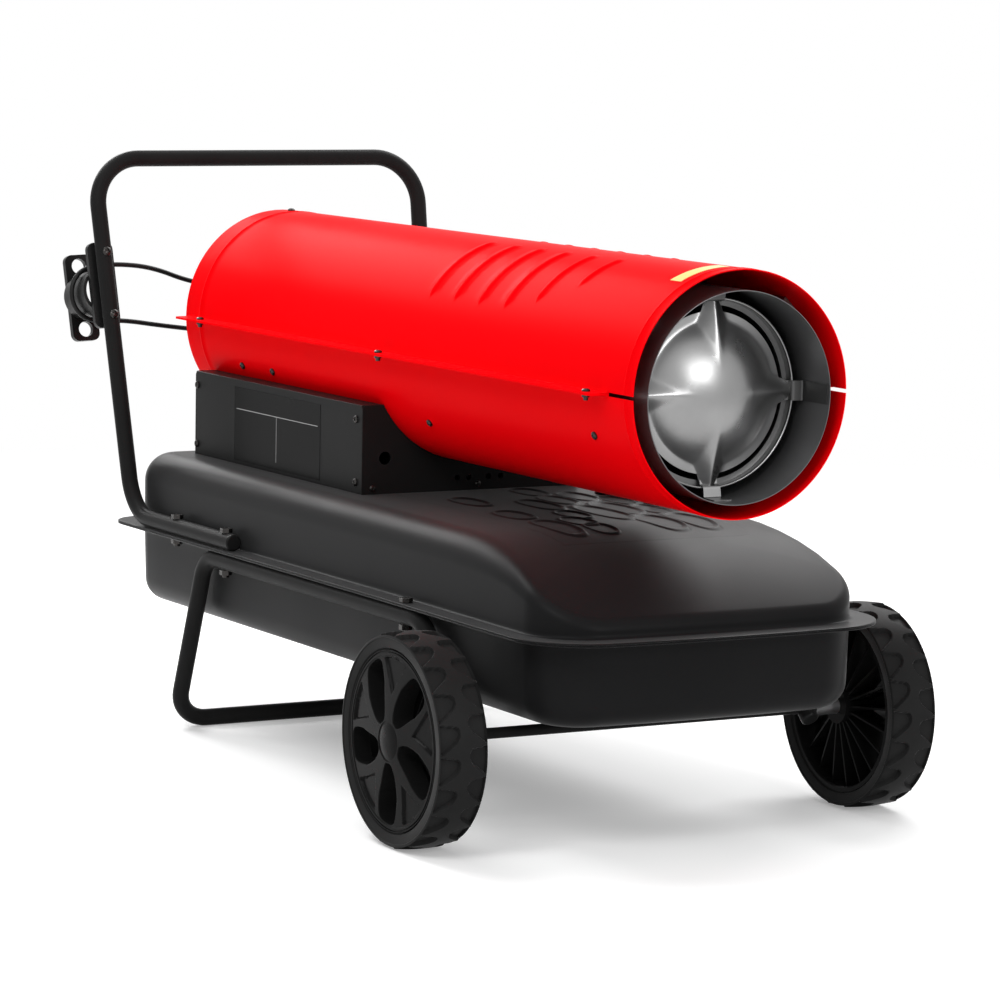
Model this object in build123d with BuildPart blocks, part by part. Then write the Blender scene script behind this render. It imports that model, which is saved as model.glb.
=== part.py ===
from build123d import *
from math import asin, atan2, cos, degrees, hypot, pi, radians, sin, sqrt, tan
import os

os.makedirs("parts", exist_ok=True)

# Forced air heater on a wheeled fuel tank. Millimetres, +Z up, floor at z = 0.
# +X points along the air stream to the hot outlet, and -Y is the side with the large label.
# The origin lies on the floor under the middle of the object's length.

# ---------------------------------------------------------------- driving dimensions
tyre_radius = 114.0            # 9 in wheel
tyre_width = 56.0
tyre_depth = 18.0              # rubber from the rim seat to the tread
wheel_y = 278.5                # middle of each wheel
axle_radius = 6.0
tube_radius = 10.0             # 20 mm round tube of the frame and the handle
tube_wall = 1.5
rail_y = 209.0                 # frame rails and handle feet, from the middle plane
fit = 0.05                     # running clearance of a shaft in its bore
gap = 0.3                      # clearance between curved neighbours

# lengths measured back (-X) or ahead (+X) of the wheel axle
outlet_ahead = 181.0
handle_top_back = 960.0
handle_foot_back = 866.0
handle_end_back = 585.0
stand_back = 738.0
rail_front_back = 117.0        # where the rails turn down to the axle
rail_rear_back = 657.0
dome_rear_back = 896.0
dome_front_ahead = 134.0
console_front_back = 390.5
console_rear_back = 834.5

shell_radius = 130.0
shell_wall = 1.2
shell_length = 1070.0
shell_z = 484.0
sheet = 1.5                    # folded sheet of the console

# tank heights and plan
tray_bottom = 138.0
seam_z = 232.0                 # the welded seam between the two tank halves
tank_wall = 2.0
dome_top = 320.0
dome_half_width = 197.5
dome_front_corner = 44.0
dome_rear_corner = 45.0
flange_side = 21.5
flange_end = 29.0
flange_corner = 44.0

# handle
handle_top_z = 674.8
handle_top_y = 225.0
handle_bend = 58.0
frame_bend = 40.0

# cord holders, measured from the centre line of the handle's leg
holder_along = 285.6           # up the leg from the foot corner to the middle of the two screws
holder_screw_pitch = 77.4
holder_height = 108.0
holder_width = 36.0
holder_base = 7.0
holder_plate = 8.0
holder_reach = 87.0            # leg centre line to the holder's outermost face
holder_drop = 6.0              # the spool sits lower than the screws
spool_radius = 29.0
spool_inset = 4.0
cord_radius = 3.0

# ---------------------------------------------------------------- derived places
flange_top = seam_z + tank_wall
flange_bottom = seam_z - tank_wall
handle_foot_z = flange_top + tube_radius
rail_z = flange_bottom - tube_radius
lean = atan2(handle_top_back - handle_foot_back, handle_top_z - handle_foot_z)
leg_rise = Vector(handle_foot_back - handle_top_back, handle_top_y - rail_y,
                  handle_top_z - handle_foot_z)
leg_dir = leg_rise.normalized()
holder_mid_back = handle_foot_back - leg_dir.X * holder_along
rear_reach = (holder_mid_back + holder_reach * cos(lean)
              + (holder_height / 2 - holder_drop) * sin(lean))
axle_x = (rear_reach - outlet_ahead) / 2
axle_z = tyre_radius
shell_front_x = axle_x + outlet_ahead
shell_rear_x = shell_front_x - shell_length
shell_bore = shell_radius - shell_wall
console_front_x = axle_x - console_front_back
console_rear_x = axle_x - console_rear_back
dome_rear_x = axle_x - dome_rear_back
dome_front_x = axle_x + dome_front_ahead


def save(name, label):
    """Label a finished piece and write its STEP file."""
    name.part.label = label
    export_step(name.part, f"parts/{label}.step")


def pipe_x(x_start, x_end, outer, inner, height):
    """A straight pipe along X round the point (0, height); inner may be 0 for a bar."""
    with BuildPart() as blank:
        with BuildSketch(Plane.YZ.offset(x_start)):
            with Locations((0, height)):
                Circle(outer)
                if inner > 0:
                    Circle(inner, mode=Mode.SUBTRACT)
        extrude(amount=x_end - x_start)
    return blank.part


def upright(x, y, z_start, z_end, outer, inner=0.0):
    """A vertical bar or sleeve standing at (x, y)."""
    with BuildPart() as blank:
        with BuildSketch(Plane.XY.offset(z_start)):
            with Locations((x, y)):
                Circle(outer)
                if inner > 0:
                    Circle(inner, mode=Mode.SUBTRACT)
        extrude(amount=z_end - z_start)
    return blank.part


def across(x, z, y_start, y_end, outer, inner=0.0):
    """A bar or sleeve along Y, from y_start to the larger y_end."""
    with BuildPart() as blank:
        with BuildSketch(Plane.XZ.offset(-y_start)):
            with Locations((x, z)):
                Circle(outer)
                if inner > 0:
                    Circle(inner, mode=Mode.SUBTRACT)
        extrude(amount=y_start - y_end)
    return blank.part


def slab(low, high):
    """A box between two opposite corners."""
    with BuildPart() as blank:
        with Locations(tuple(low)):
            Box(*[b - a for a, b in zip(low, high)], align=(Align.MIN, Align.MIN, Align.MIN))
    return blank.part


def both_sides(piece):
    """The piece and its mirror image across the middle plane."""
    return [piece, mirror(piece, about=Plane.XZ)]


# ---------------------------------------------------------------- wheels
# Each wheel is a solid rubber tyre on a moulded rim that turns on the fixed axle.
rim_radius = tyre_radius - tyre_depth
tyre_shoulder = 5.0
barrel_wall = 6.0
barrel_width = 50.0
hub_radius = 19.0
hub_inner_y = 250.0
hub_outer_y = 300.0
web_y = 289.0                  # the spokes' inner face
web_thickness = 5.0
spoke_count = 5
window_inner = 34.0            # radii of the windows between the spokes
window_outer = 82.0
window_angle = 34.0            # degrees at the outer radius
window_start = 113.0           # degrees up from ahead
rib_count = 20
rib_thickness = 2.5
rib_width = 24.0
cap_radius = 22.0
cap_wall = 2.5
cap_rise = 4.5                 # hub cap's face beyond the tyre's
cap_face_y = wheel_y + tyre_width / 2 + cap_rise
wheel_plane = Plane(origin=(axle_x, 0, axle_z), x_dir=(0, -1, 0), z_dir=(-1, 0, 0))
wheel_axis = Axis((axle_x, 0, axle_z), (0, 1, 0))

with BuildPart() as tyre_near:
    with BuildSketch(wheel_plane):
        with Locations((wheel_y, rim_radius + tyre_depth / 2)):
            RectangleRounded(tyre_width, tyre_depth, tyre_shoulder)
        with Locations((wheel_y, rim_radius)):
            Rectangle(barrel_width, 2 * tyre_shoulder, align=(Align.CENTER, Align.MIN))
    revolve(axis=wheel_axis)

with BuildPart() as rim_near:
    with BuildSketch(wheel_plane):
        with Locations((wheel_y, rim_radius - barrel_wall)):
            Rectangle(barrel_width, barrel_wall, align=(Align.CENTER, Align.MIN))
        with Locations((web_y, axle_radius + fit)):
            Rectangle(web_thickness, rim_radius - barrel_wall / 2 - axle_radius - fit,
                      align=(Align.MIN, Align.MIN))
        with Locations((hub_inner_y, axle_radius + fit)):
            Rectangle(hub_outer_y - hub_inner_y, hub_radius - axle_radius - fit,
                      align=(Align.MIN, Align.MIN))
    revolve(axis=wheel_axis)
    # windows between the spokes, narrower towards the hub
    window_plane = Plane(origin=(axle_x, -web_y - web_thickness, axle_z), x_dir=(1, 0, 0), z_dir=(0, -1, 0))
    outer_half = window_outer * sin(radians(window_angle / 2))
    inner_half = window_inner * sin(radians(window_angle / 2))
    with BuildSketch() as window:
        with BuildLine():
            Line((window_inner, -inner_half), (window_inner, inner_half))
            Line((window_inner, inner_half), (window_outer, outer_half))
            ThreePointArc((window_outer, outer_half), (window_outer + 4, 0),
                          (window_outer, -outer_half))
            Line((window_outer, -outer_half), (window_inner, -inner_half))
        make_face()
        fillet(window.vertices(), 5)
    with BuildSketch(window_plane):
        with PolarLocations(0, spoke_count, start_angle=window_start):
            add(window.sketch)
    extrude(amount=-web_thickness, mode=Mode.SUBTRACT)
    # thin stiffening ribs behind the web
    with BuildSketch(window_plane.offset(-web_thickness)):
        with PolarLocations((hub_radius + rim_radius - barrel_wall) / 2, rib_count):
            Rectangle(rim_radius - barrel_wall - hub_radius + 2, rib_thickness)
    extrude(amount=-rib_width)

with BuildPart() as hub_cap_near:
    with BuildSketch(wheel_plane):
        with BuildLine():
            Polyline((web_y + web_thickness + gap, hub_radius),
                     (hub_outer_y + gap, hub_radius),
                     (hub_outer_y + gap, hub_radius - cap_wall),
                     (cap_face_y - cap_wall, hub_radius - 2 * cap_wall),
                     (cap_face_y - cap_wall, 0),
                     (cap_face_y, 0))
            Line((cap_face_y, 0), (cap_face_y, cap_radius - 8))
            TangentArc((cap_face_y, cap_radius - 8), (cap_face_y - 6, cap_radius),
                       tangent=(0, 1))
            Line((cap_face_y - 6, cap_radius), (web_y + web_thickness + gap, cap_radius))
            Line((web_y + web_thickness + gap, cap_radius),
                 (web_y + web_thickness + gap, hub_radius))
        make_face()
    revolve(axis=wheel_axis)

for label, piece in (("tyre", tyre_near), ("rim", rim_near), ("hub_cap", hub_cap_near)):
    save(piece, f"near_{label}")
    with BuildPart() as far_piece:
        add(mirror(piece.part, about=Plane.XZ))
    save(far_piece, f"far_{label}")

# ---------------------------------------------------------------- axle and its small parts
washer = 1.5
axle_end_y = hub_outer_y + 5.0
with BuildPart() as axle:
    add(across(axle_x, axle_z, -axle_end_y, axle_end_y, axle_radius))
save(axle, "axle")

sleeve_inner_y = rail_y + tube_radius + gap
with BuildPart() as axle_spacers:
    for y_start, y_end, rim in ((sleeve_inner_y, hub_inner_y - gap, 3.0),
                                (hub_outer_y + gap, hub_outer_y + gap + washer, 4.0)):
        for ring in both_sides(across(axle_x, axle_z, y_start, y_end, axle_radius + rim,
                                      axle_radius + fit)):
            add(ring)
save(axle_spacers, "axle_spacers")

# ---------------------------------------------------------------- leg frame
# One bent tube: up from the axle, back under the tank's flange, down to the floor bar.
bolt_radius = 4.0
bolt_clearance = 0.2
rear_bolt_back = 739.0
middle_bolt_back = 603.0
front_bolt_back = 152.0
rail_end_overrun = 14.0        # tube past the axle's centre
rail_front_x = axle_x - rail_front_back
rail_rear_x = axle_x - rail_rear_back
stand_x = axle_x - stand_back
front_run = Vector(rail_front_back, 0, axle_z - rail_z).normalized()
rail_end = Vector(axle_x, rail_y, axle_z) + front_run * rail_end_overrun

with BuildPart() as leg_frame:
    with BuildLine() as frame_path:
        FilletPolyline((rail_end.X, -rail_y, rail_end.Z),
                       (rail_front_x, -rail_y, rail_z),
                       (rail_rear_x, -rail_y, rail_z),
                       (stand_x, -rail_y, tube_radius),
                       (stand_x, rail_y, tube_radius),
                       (rail_rear_x, rail_y, rail_z),
                       (rail_front_x, rail_y, rail_z),
                       (rail_end.X, rail_y, rail_end.Z),
                       radius=frame_bend)
    with BuildSketch(Plane(origin=frame_path.line @ 0, z_dir=frame_path.line % 0)):
        Circle(tube_radius)
        Circle(tube_radius - tube_wall, mode=Mode.SUBTRACT)
    sweep()
    add(across(axle_x, axle_z, -axle_end_y, axle_end_y, axle_radius + fit), mode=Mode.SUBTRACT)
    for back in (middle_bolt_back, front_bolt_back):
        for hole in both_sides(upright(axle_x - back, rail_y, rail_z - 2 * tube_radius, flange_top,
                                       bolt_radius + bolt_clearance)):
            add(hole, mode=Mode.SUBTRACT)
save(leg_frame, "leg_frame")

# ---------------------------------------------------------------- handle
foot_x = axle_x - handle_foot_back
top_x = axle_x - handle_top_back
end_x = axle_x - handle_end_back
leg_foot = Vector(foot_x, rail_y, handle_foot_z)
rearward = Vector(-cos(lean), 0, -sin(lean))
sideways = leg_dir.cross(rearward)      # towards the middle, on the far side
holder_mid = leg_foot + leg_dir * holder_along
holder_plane = Plane(origin=holder_mid, x_dir=-sideways, z_dir=rearward)
holder_screw_radius = 2.5

with BuildPart() as screw_shanks:
    with BuildSketch(holder_plane.offset(-2 * tube_radius)):
        with GridLocations(0, holder_screw_pitch, 1, 2):
            Circle(holder_screw_radius + bolt_clearance)
    extrude(amount=3 * tube_radius)

with BuildPart() as handle:
    with BuildLine() as handle_path:
        FilletPolyline((end_x, -rail_y, handle_foot_z),
                       (foot_x, -rail_y, handle_foot_z),
                       (top_x, -handle_top_y, handle_top_z),
                       (top_x, handle_top_y, handle_top_z),
                       (foot_x, rail_y, handle_foot_z),
                       (end_x, rail_y, handle_foot_z),
                       radius=handle_bend)
    with BuildSketch(Plane(origin=handle_path.line @ 0, z_dir=handle_path.line % 0)):
        Circle(tube_radius)
        Circle(tube_radius - tube_wall, mode=Mode.SUBTRACT)
    sweep()
    for back in (rear_bolt_back, middle_bolt_back):
        for hole in both_sides(upright(axle_x - back, rail_y, flange_top, handle_foot_z + 2 * tube_radius,
                                       bolt_radius + bolt_clearance)):
            add(hole, mode=Mode.SUBTRACT)
    for holes in both_sides(screw_shanks.part):
        add(holes, mode=Mode.SUBTRACT)
save(handle, "handle")

plug_depth = 12.0
plug_head = 3.0
handle_tip_plane = Plane.YZ.offset(end_x)
rail_tip_plane = Plane(origin=rail_end, x_dir=(0, 1, 0), z_dir=front_run)
with BuildPart() as tube_end_caps:
    with BuildSketch(handle_tip_plane):
        with Locations((rail_y, handle_foot_z)):
            Circle(tube_radius)
    extrude(amount=plug_head)
    with BuildSketch(rail_tip_plane):
        Circle(tube_radius)
    extrude(amount=plug_head)
    fillet(tube_end_caps.edges().filter_by(
        lambda e: abs((e.center() - rail_end).dot(front_run) - plug_head) < 0.01
        or abs(e.center().X - end_x - plug_head) < 0.01), plug_head - 0.5)
    with BuildSketch(handle_tip_plane):
        with Locations((rail_y, handle_foot_z)):
            Circle(tube_radius - tube_wall - fit)
    extrude(amount=-plug_depth)
    with BuildSketch(rail_tip_plane):
        Circle(tube_radius - tube_wall - fit)
    extrude(amount=-(rail_end_overrun - axle_radius - 1))
    add(mirror(tube_end_caps.part, about=Plane.XZ))
save(tube_end_caps, "tube_end_caps")

# ---------------------------------------------------------------- fuel tank
# Two pressed halves meet at a flat flange; the upper half slopes down to the front.
slope_start_back = 80.0        # where the top starts to curve down to the front
slope_foot_z = 259.0
slope_run = slope_start_back + dome_front_ahead
slope_radius = (slope_run ** 2 + (dome_top - slope_foot_z) ** 2) / (2 * (dome_top - slope_foot_z))
slope_turn = degrees(asin((slope_run + 20) / slope_radius))
shoulder = 34.0                # radius along the upper edges
tray_edge = 28.0
tray_draft = 1.5               # degrees
drain_back = 700.0
drain_radius = 8.0
drain_flats = 22.0
filler_back = 300.0
filler_y = 146.0
neck_radius = 22.0
neck_wall = 1.5
boss_rise = 4.0
boss_margin = 6.0
gauge_back = 195.0
gauge_y = 142.0
gauge_radius = 17.0
gauge_bore = 9.0
pickup_back = 520.0
pickup_y = 60.0
pickup_radius = 4.0
bracket_places = (-128.0, 9.0, 128.0)      # brackets for the console's end plates
bracket_screw_z = 327.0
bracket_screw_radius = 2.0
bracket_foot = 14.0
bracket_half = 9.0
rosette_back = 185.0           # pressed stiffening pattern under the outlet
rosette_petals = 10
petal_width = 24.0
petal_inner = 48.0
petal_outer = 108.0
petal_rise = 2.5
filler_x = axle_x - filler_back
gauge_x = axle_x - gauge_back
pickup_x = axle_x - pickup_back
drain_x = axle_x - drain_back


def plan(x_rear, x_front, half_width, rear_corner, front_corner):
    """The tank's outline seen from above, as a flat sketch at z = 0."""
    with BuildSketch() as outline:
        with Locations(((x_rear + x_front) / 2, 0)):
            Rectangle(x_front - x_rear, 2 * half_width)
        fillet(outline.vertices().group_by(Axis.X)[0], rear_corner)
        fillet(outline.vertices().group_by(Axis.X)[-1], front_corner)
    return outline.sketch


def tank_plan(inset):
    return plan(dome_rear_x + inset, dome_front_x - inset, dome_half_width - inset,
                dome_rear_corner - inset, dome_front_corner - inset)


def dome(inset):
    """The upper half as a solid block, made smaller all round by inset."""
    slope_x = axle_x - slope_start_back
    with BuildPart() as block:
        with BuildSketch(Plane.XY.offset(seam_z)):
            add(tank_plan(inset))
        extrude(amount=dome_top - seam_z - inset)
        with BuildSketch(Plane.XZ.offset(-dome_half_width)):
            with BuildLine():
                curve = CenterArc((slope_x, dome_top - slope_radius), slope_radius - inset,
                                  90, -slope_turn)
                Polyline(curve @ 1, (dome_front_x + 20, dome_top + 20), (slope_x, dome_top + 20),
                         curve @ 0)
            make_face()
        extrude(amount=2 * dome_half_width, mode=Mode.SUBTRACT)
        upper = block.edges().filter_by(lambda e: e.center().Z > seam_z + 5)
        fillet(upper.filter_by(lambda e: abs(e.tangent_at(0.5).Z) < 0.95), shoulder - inset)
    return block.part


def tray(inset):
    """The lower half as a solid block, made smaller all round by inset."""
    with BuildPart() as block:
        with BuildSketch(Plane.XY.offset(seam_z)):
            add(tank_plan(inset))
        extrude(amount=-(seam_z - tray_bottom - inset), taper=tray_draft)
        fillet(block.faces().sort_by(Axis.Z)[0].edges(), tray_edge - inset)
    return block.part


def flange(z_start, z_end):
    with BuildPart() as plate:
        with BuildSketch(Plane.XY.offset(z_start)):
            add(plan(dome_rear_x - flange_end, dome_front_x + flange_end,
                     dome_half_width + flange_side, flange_corner, flange_corner))
        extrude(amount=z_end - z_start)
        for back in (rear_bolt_back, middle_bolt_back, front_bolt_back):
            for hole in both_sides(upright(axle_x - back, rail_y, z_start - 1, z_end + 1,
                                           bolt_radius + bolt_clearance)):
                add(hole, mode=Mode.SUBTRACT)
    return plate.part


with BuildPart() as tank_lower:
    add(tray(0))
    add(flange(flange_bottom, seam_z))
    add(tray(tank_wall), mode=Mode.SUBTRACT)
    add(upright(drain_x, 0, tray_bottom - 1, tray_bottom + 2 * tank_wall, drain_radius + fit),
        mode=Mode.SUBTRACT)
save(tank_lower, "tank_lower")

with BuildPart() as tank_upper:
    add(dome(0))
    add(flange(seam_z, flange_top))
    add(upright(filler_x, filler_y, seam_z + 40, dome_top + boss_rise, neck_radius + boss_margin))
    add(upright(gauge_x, gauge_y, seam_z + 40, dome_top + boss_rise, gauge_radius + boss_margin))
    with BuildSketch(Plane.XY.offset(dome_top)):
        with Locations((axle_x - rosette_back, 0)):
            with PolarLocations((petal_inner + petal_outer) / 2, rosette_petals):
                SlotCenterToCenter(petal_outer - petal_inner, petal_width)
    extrude(amount=petal_rise)
    for x_face, inward in ((console_front_x - sheet, -1), (console_rear_x + sheet, 1)):
        foot = sorted((x_face, x_face + inward * bracket_foot))
        web = sorted((x_face, x_face + inward * tank_wall))
        for y in bracket_places:
            add(slab((foot[0], y - bracket_half, dome_top),
                     (foot[1], y + bracket_half, dome_top + tank_wall)))
            add(slab((web[0], y - bracket_half, dome_top),
                     (web[1], y + bracket_half, bracket_screw_z + 8)))
            hole = pipe_x(web[0] - 1, web[1] + 1, bracket_screw_radius + fit, 0, bracket_screw_z)
            add(hole.moved(Location((0, y, 0))), mode=Mode.SUBTRACT)
    add(dome(tank_wall), mode=Mode.SUBTRACT)
    add(upright(filler_x, filler_y, seam_z, dome_top + 2 * boss_rise, neck_radius + fit),
        mode=Mode.SUBTRACT)
    add(upright(gauge_x, gauge_y, seam_z, dome_top + 2 * boss_rise, gauge_bore + 1),
        mode=Mode.SUBTRACT)
    add(upright(pickup_x, pickup_y, dome_top - 10, dome_top + 10, pickup_radius + fit),
        mode=Mode.SUBTRACT)
save(tank_upper, "tank_upper")
print("tank litres", round((dome(tank_wall).volume + tray(tank_wall).volume) / 1e6, 1))

with BuildPart() as drain_plug:
    with BuildSketch(Plane.XY.offset(tray_bottom)):
        with Locations((drain_x, 0)):
            RegularPolygon(drain_flats / 2, 6, major_radius=False)
    extrude(amount=-6)
    add(upright(drain_x, 0, tray_bottom, tray_bottom + 8, drain_radius))
save(drain_plug, "drain_plug")

# filler: neck, basket strainer and screw cap
neck_top_z = dome_top + 20.0
boss_top_z = dome_top + boss_rise
cap_skirt = 3.0
cap_clearance = 0.6
cap_top_z = neck_top_z + 8.0
cap_outer = neck_radius + cap_clearance + cap_skirt
with BuildPart() as filler_neck:
    add(upright(filler_x, filler_y, boss_top_z - 14, neck_top_z, neck_radius, neck_radius - neck_wall))
    add(upright(filler_x, filler_y, boss_top_z, boss_top_z + 2, neck_radius + 3, neck_radius - neck_wall))
save(filler_neck, "filler_neck")

strainer_radius = neck_radius - neck_wall - gap
with BuildPart() as fuel_strainer:
    add(upright(filler_x, filler_y, neck_top_z - 70, neck_top_z, strainer_radius, strainer_radius - 1))
    add(upright(filler_x, filler_y, neck_top_z, neck_top_z + 1, neck_radius, strainer_radius - 1))
    add(upright(filler_x, filler_y, neck_top_z - 71, neck_top_z - 70, strainer_radius))
save(fuel_strainer, "fuel_strainer")

grip_count = 24
with BuildPart() as fuel_cap:
    add(upright(filler_x, filler_y, boss_top_z + 2 + gap, cap_top_z, cap_outer))
    fillet(fuel_cap.faces().sort_by(Axis.Z)[-1].edges(), 2)
    with BuildSketch(Plane.XY.offset(cap_top_z - 4)):
        with Locations((filler_x, filler_y)):
            with PolarLocations(cap_outer + 0.6, grip_count):
                Circle(1.8)
    extrude(amount=boss_top_z + 2 - cap_top_z, mode=Mode.SUBTRACT)
    add(upright(filler_x, filler_y, boss_top_z, neck_top_z + 1 + gap, neck_radius + cap_clearance),
        mode=Mode.SUBTRACT)
    grip_bar = slab((filler_x - cap_outer + 6, filler_y - 4, cap_top_z),
                    (filler_x + cap_outer - 6, filler_y + 4, cap_top_z + 6))
    add(grip_bar)
save(fuel_cap, "fuel_cap")

# dial gauge: a float arm in the tank turns the needle
gauge_top_z = boss_top_z + 11.0
dial_z = boss_top_z + 5.0
stem_length = 60.0
arm_radius = 1.5
float_arm_length = 95.0
float_radius = 11.0
float_length = 34.0
float_rest = 50.0              # degrees below level
float_pivot_z = boss_top_z - stem_length
with BuildPart() as fuel_gauge:
    add(upright(gauge_x, gauge_y, boss_top_z, gauge_top_z, gauge_radius))
    add(upright(gauge_x, gauge_y, dial_z, gauge_top_z, gauge_radius - 2), mode=Mode.SUBTRACT)
    add(upright(gauge_x, gauge_y, float_pivot_z + 8, boss_top_z, gauge_bore))
    for side in (-1, 1):
        add(slab((gauge_x - 5, gauge_y + side * 5 - 1, float_pivot_z - 5),
                 (gauge_x + 5, gauge_y + side * 5 + 1, float_pivot_z + 8)))
    add(across(gauge_x, float_pivot_z, gauge_y - 7, gauge_y + 7, arm_radius + fit),
        mode=Mode.SUBTRACT)
save(fuel_gauge, "fuel_gauge")

with BuildPart() as gauge_needle:
    add(upright(gauge_x, gauge_y, dial_z + gap, dial_z + 2.5, 2.5))
    add(slab((gauge_x - 4, gauge_y - 0.8, dial_z + 1.2), (gauge_x + gauge_radius - 5, gauge_y + 0.8,
                                                          dial_z + 2.2)))
save(gauge_needle, "gauge_needle")

with BuildPart() as gauge_lens:
    add(upright(gauge_x, gauge_y, gauge_top_z - 2, gauge_top_z, gauge_radius - 2 - gap))
save(gauge_lens, "gauge_lens")

# the float hangs at its lowest, as in an empty tank
with BuildPart() as float_arm:
    add(across(gauge_x, float_pivot_z, gauge_y - 6.5, gauge_y + 6.5, arm_radius))
    add(across(gauge_x, float_pivot_z, gauge_y - 3, gauge_y + 3, arm_radius + 2))
    add(pipe_x(gauge_x, gauge_x + float_arm_length, arm_radius, 0, float_pivot_z)
        .moved(Location((0, gauge_y, 0))))
    add(across(gauge_x + float_arm_length + float_radius - 2, float_pivot_z,
               gauge_y - float_length / 2, gauge_y + float_length / 2, float_radius))
    float_axis = Axis((gauge_x, gauge_y, float_pivot_z), (0, 1, 0))
    add(float_arm.part.rotate(float_axis, float_rest), mode=Mode.REPLACE)
save(float_arm, "float_arm")

# fuel pickup under the console
pickup_bottom_z = tray_bottom + tank_wall + 12.0
pickup_top_z = dome_top + 30.0
screen_height = 26.0
screen_radius = 11.0
with BuildPart() as fuel_pickup:
    add(upright(pickup_x, pickup_y, pickup_bottom_z, pickup_bottom_z + screen_height, screen_radius))
    add(upright(pickup_x, pickup_y, pickup_bottom_z + 4, pickup_top_z, pickup_radius))
    add(upright(pickup_x, pickup_y, dome_top, dome_top + 3, pickup_radius + 8))
    add(upright(pickup_x, pickup_y, pickup_bottom_z + 4, pickup_top_z, pickup_radius - 1),
        mode=Mode.SUBTRACT)
save(fuel_pickup, "fuel_pickup")

# ---------------------------------------------------------------- bolts that hold frame and handle
head_height = 5.0
head_flats = 13.0
nut_height = 6.0
frame_bolt_ends = ((rear_bolt_back, handle_foot_z + tube_radius, flange_bottom),
                   (middle_bolt_back, handle_foot_z + tube_radius, rail_z - tube_radius),
                   (front_bolt_back, flange_top, rail_z - tube_radius))
with BuildPart() as frame_bolts:
    for back, head_z, nut_z in frame_bolt_ends:
        for z_start, thickness in ((head_z, head_height), (nut_z, -nut_height)):
            with BuildSketch(Plane.XY.offset(z_start)):
                with Locations((axle_x - back, rail_y), (axle_x - back, -rail_y)):
                    RegularPolygon(head_flats / 2, 6, major_radius=False)
            extrude(amount=thickness)
        for shank in both_sides(upright(axle_x - back, rail_y, nut_z - nut_height - 3, head_z,
                                        bolt_radius)):
            add(shank)
save(frame_bolts, "frame_bolts")

# ---------------------------------------------------------------- outer shell, two halves
lip = 22.0                     # seam lip that stands out on each side
lip_corner = 8.0
lip_rear_back = 11.0           # lip starts this far inside the rear edge
slit_length = 49.0             # at the outlet the halves part
slit_height = 4.0
bead_backs = (849.0, -165.0)   # rolled beads round the shell near its two ends
bead_radius = 3.0
bead_rise = 1.2
emboss_count = 6
emboss_pitch = 56.2
emboss_first_back = 292.0
emboss_radius = 7.0
emboss_rise = 2.5
emboss_low = 34.0              # degrees up from the seam
emboss_high = 76.0
seam_screw_backs = (825.0, 356.0, -106.0)
seam_screw_y = shell_radius + 11.0
seam_screw_radius = 2.5
small_head_radius = 4.5
small_head = 3.0
shell_axis = Axis((0, 0, shell_z), (1, 0, 0))
slit_x = shell_front_x - slit_length
# screws through the lower shell: distance back from the axle, degrees below the seam
shell_screw_spots = ((746.0, 22.0), (664.0, 22.0), (292.0, 34.0), (-93.0, 21.0))
guard_screw_back = 863.0
guard_screw_angles = (90.0, 215.0, 325.0)


def radial_bar(x, angle, r_start, r_end, radius):
    """A short round bar that points out from the shell's axis; 0 degrees is the near seam."""
    out = Vector(0, -cos(radians(angle)), sin(radians(angle)))
    with BuildPart() as blank:
        with BuildSketch(Plane(origin=Vector(x, 0, shell_z) + out * r_start, z_dir=out)):
            Circle(radius)
        extrude(amount=r_end - r_start)
    return blank.part


def half_shell(side):
    """side is 1 for the upper half and -1 for the lower one."""
    with BuildPart() as blank:
        add(pipe_x(shell_rear_x, shell_front_x, shell_radius, shell_bore, shell_z))
        lip_span = slit_x - shell_rear_x - lip_rear_back
        with BuildSketch(Plane.XY.offset(shell_z)):
            for y_side in (-1, 1):
                with Locations((shell_rear_x + lip_rear_back + lip_span / 2,
                                y_side * (shell_radius + lip / 2 - shell_wall))):
                    RectangleRounded(lip_span, lip + 2 * shell_wall, lip_corner)
        extrude(amount=side * shell_wall)
        with BuildSketch(Plane.XZ):
            for back in bead_backs:
                with Locations((axle_x - back, shell_z + shell_radius + bead_rise - bead_radius)):
                    Circle(bead_radius)
        revolve(axis=shell_axis)
        with BuildSketch(Plane.XY.offset(shell_z)):
            Rectangle(4 * shell_length, 4 * shell_radius)
        extrude(amount=-side * 2 * shell_radius, mode=Mode.SUBTRACT)
        with BuildSketch(Plane.YZ.offset(slit_x)):
            with Locations((0, shell_z)):
                Rectangle(4 * shell_radius, slit_height)
        extrude(amount=slit_length + 1, mode=Mode.SUBTRACT)
        # the lip's root stays out of the bore
        add(pipe_x(shell_rear_x, shell_front_x, shell_bore, 0, shell_z), mode=Mode.SUBTRACT)
        for back in seam_screw_backs:
            for hole in both_sides(upright(axle_x - back, seam_screw_y, shell_z - 4, shell_z + 4,
                                           seam_screw_radius + fit)):
                add(hole, mode=Mode.SUBTRACT)
        for angle in guard_screw_angles:
            add(radial_bar(axle_x - guard_screw_back, angle, shell_radius - 6, shell_radius + 6,
                           seam_screw_radius + fit), mode=Mode.SUBTRACT)
        if side < 0:
            for back, angle in shell_screw_spots:
                for hole in both_sides(radial_bar(axle_x - back, -angle, shell_radius - 6,
                                                  shell_radius + 6, seam_screw_radius + fit)):
                    add(hole, mode=Mode.SUBTRACT)
    return blank.part


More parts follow.
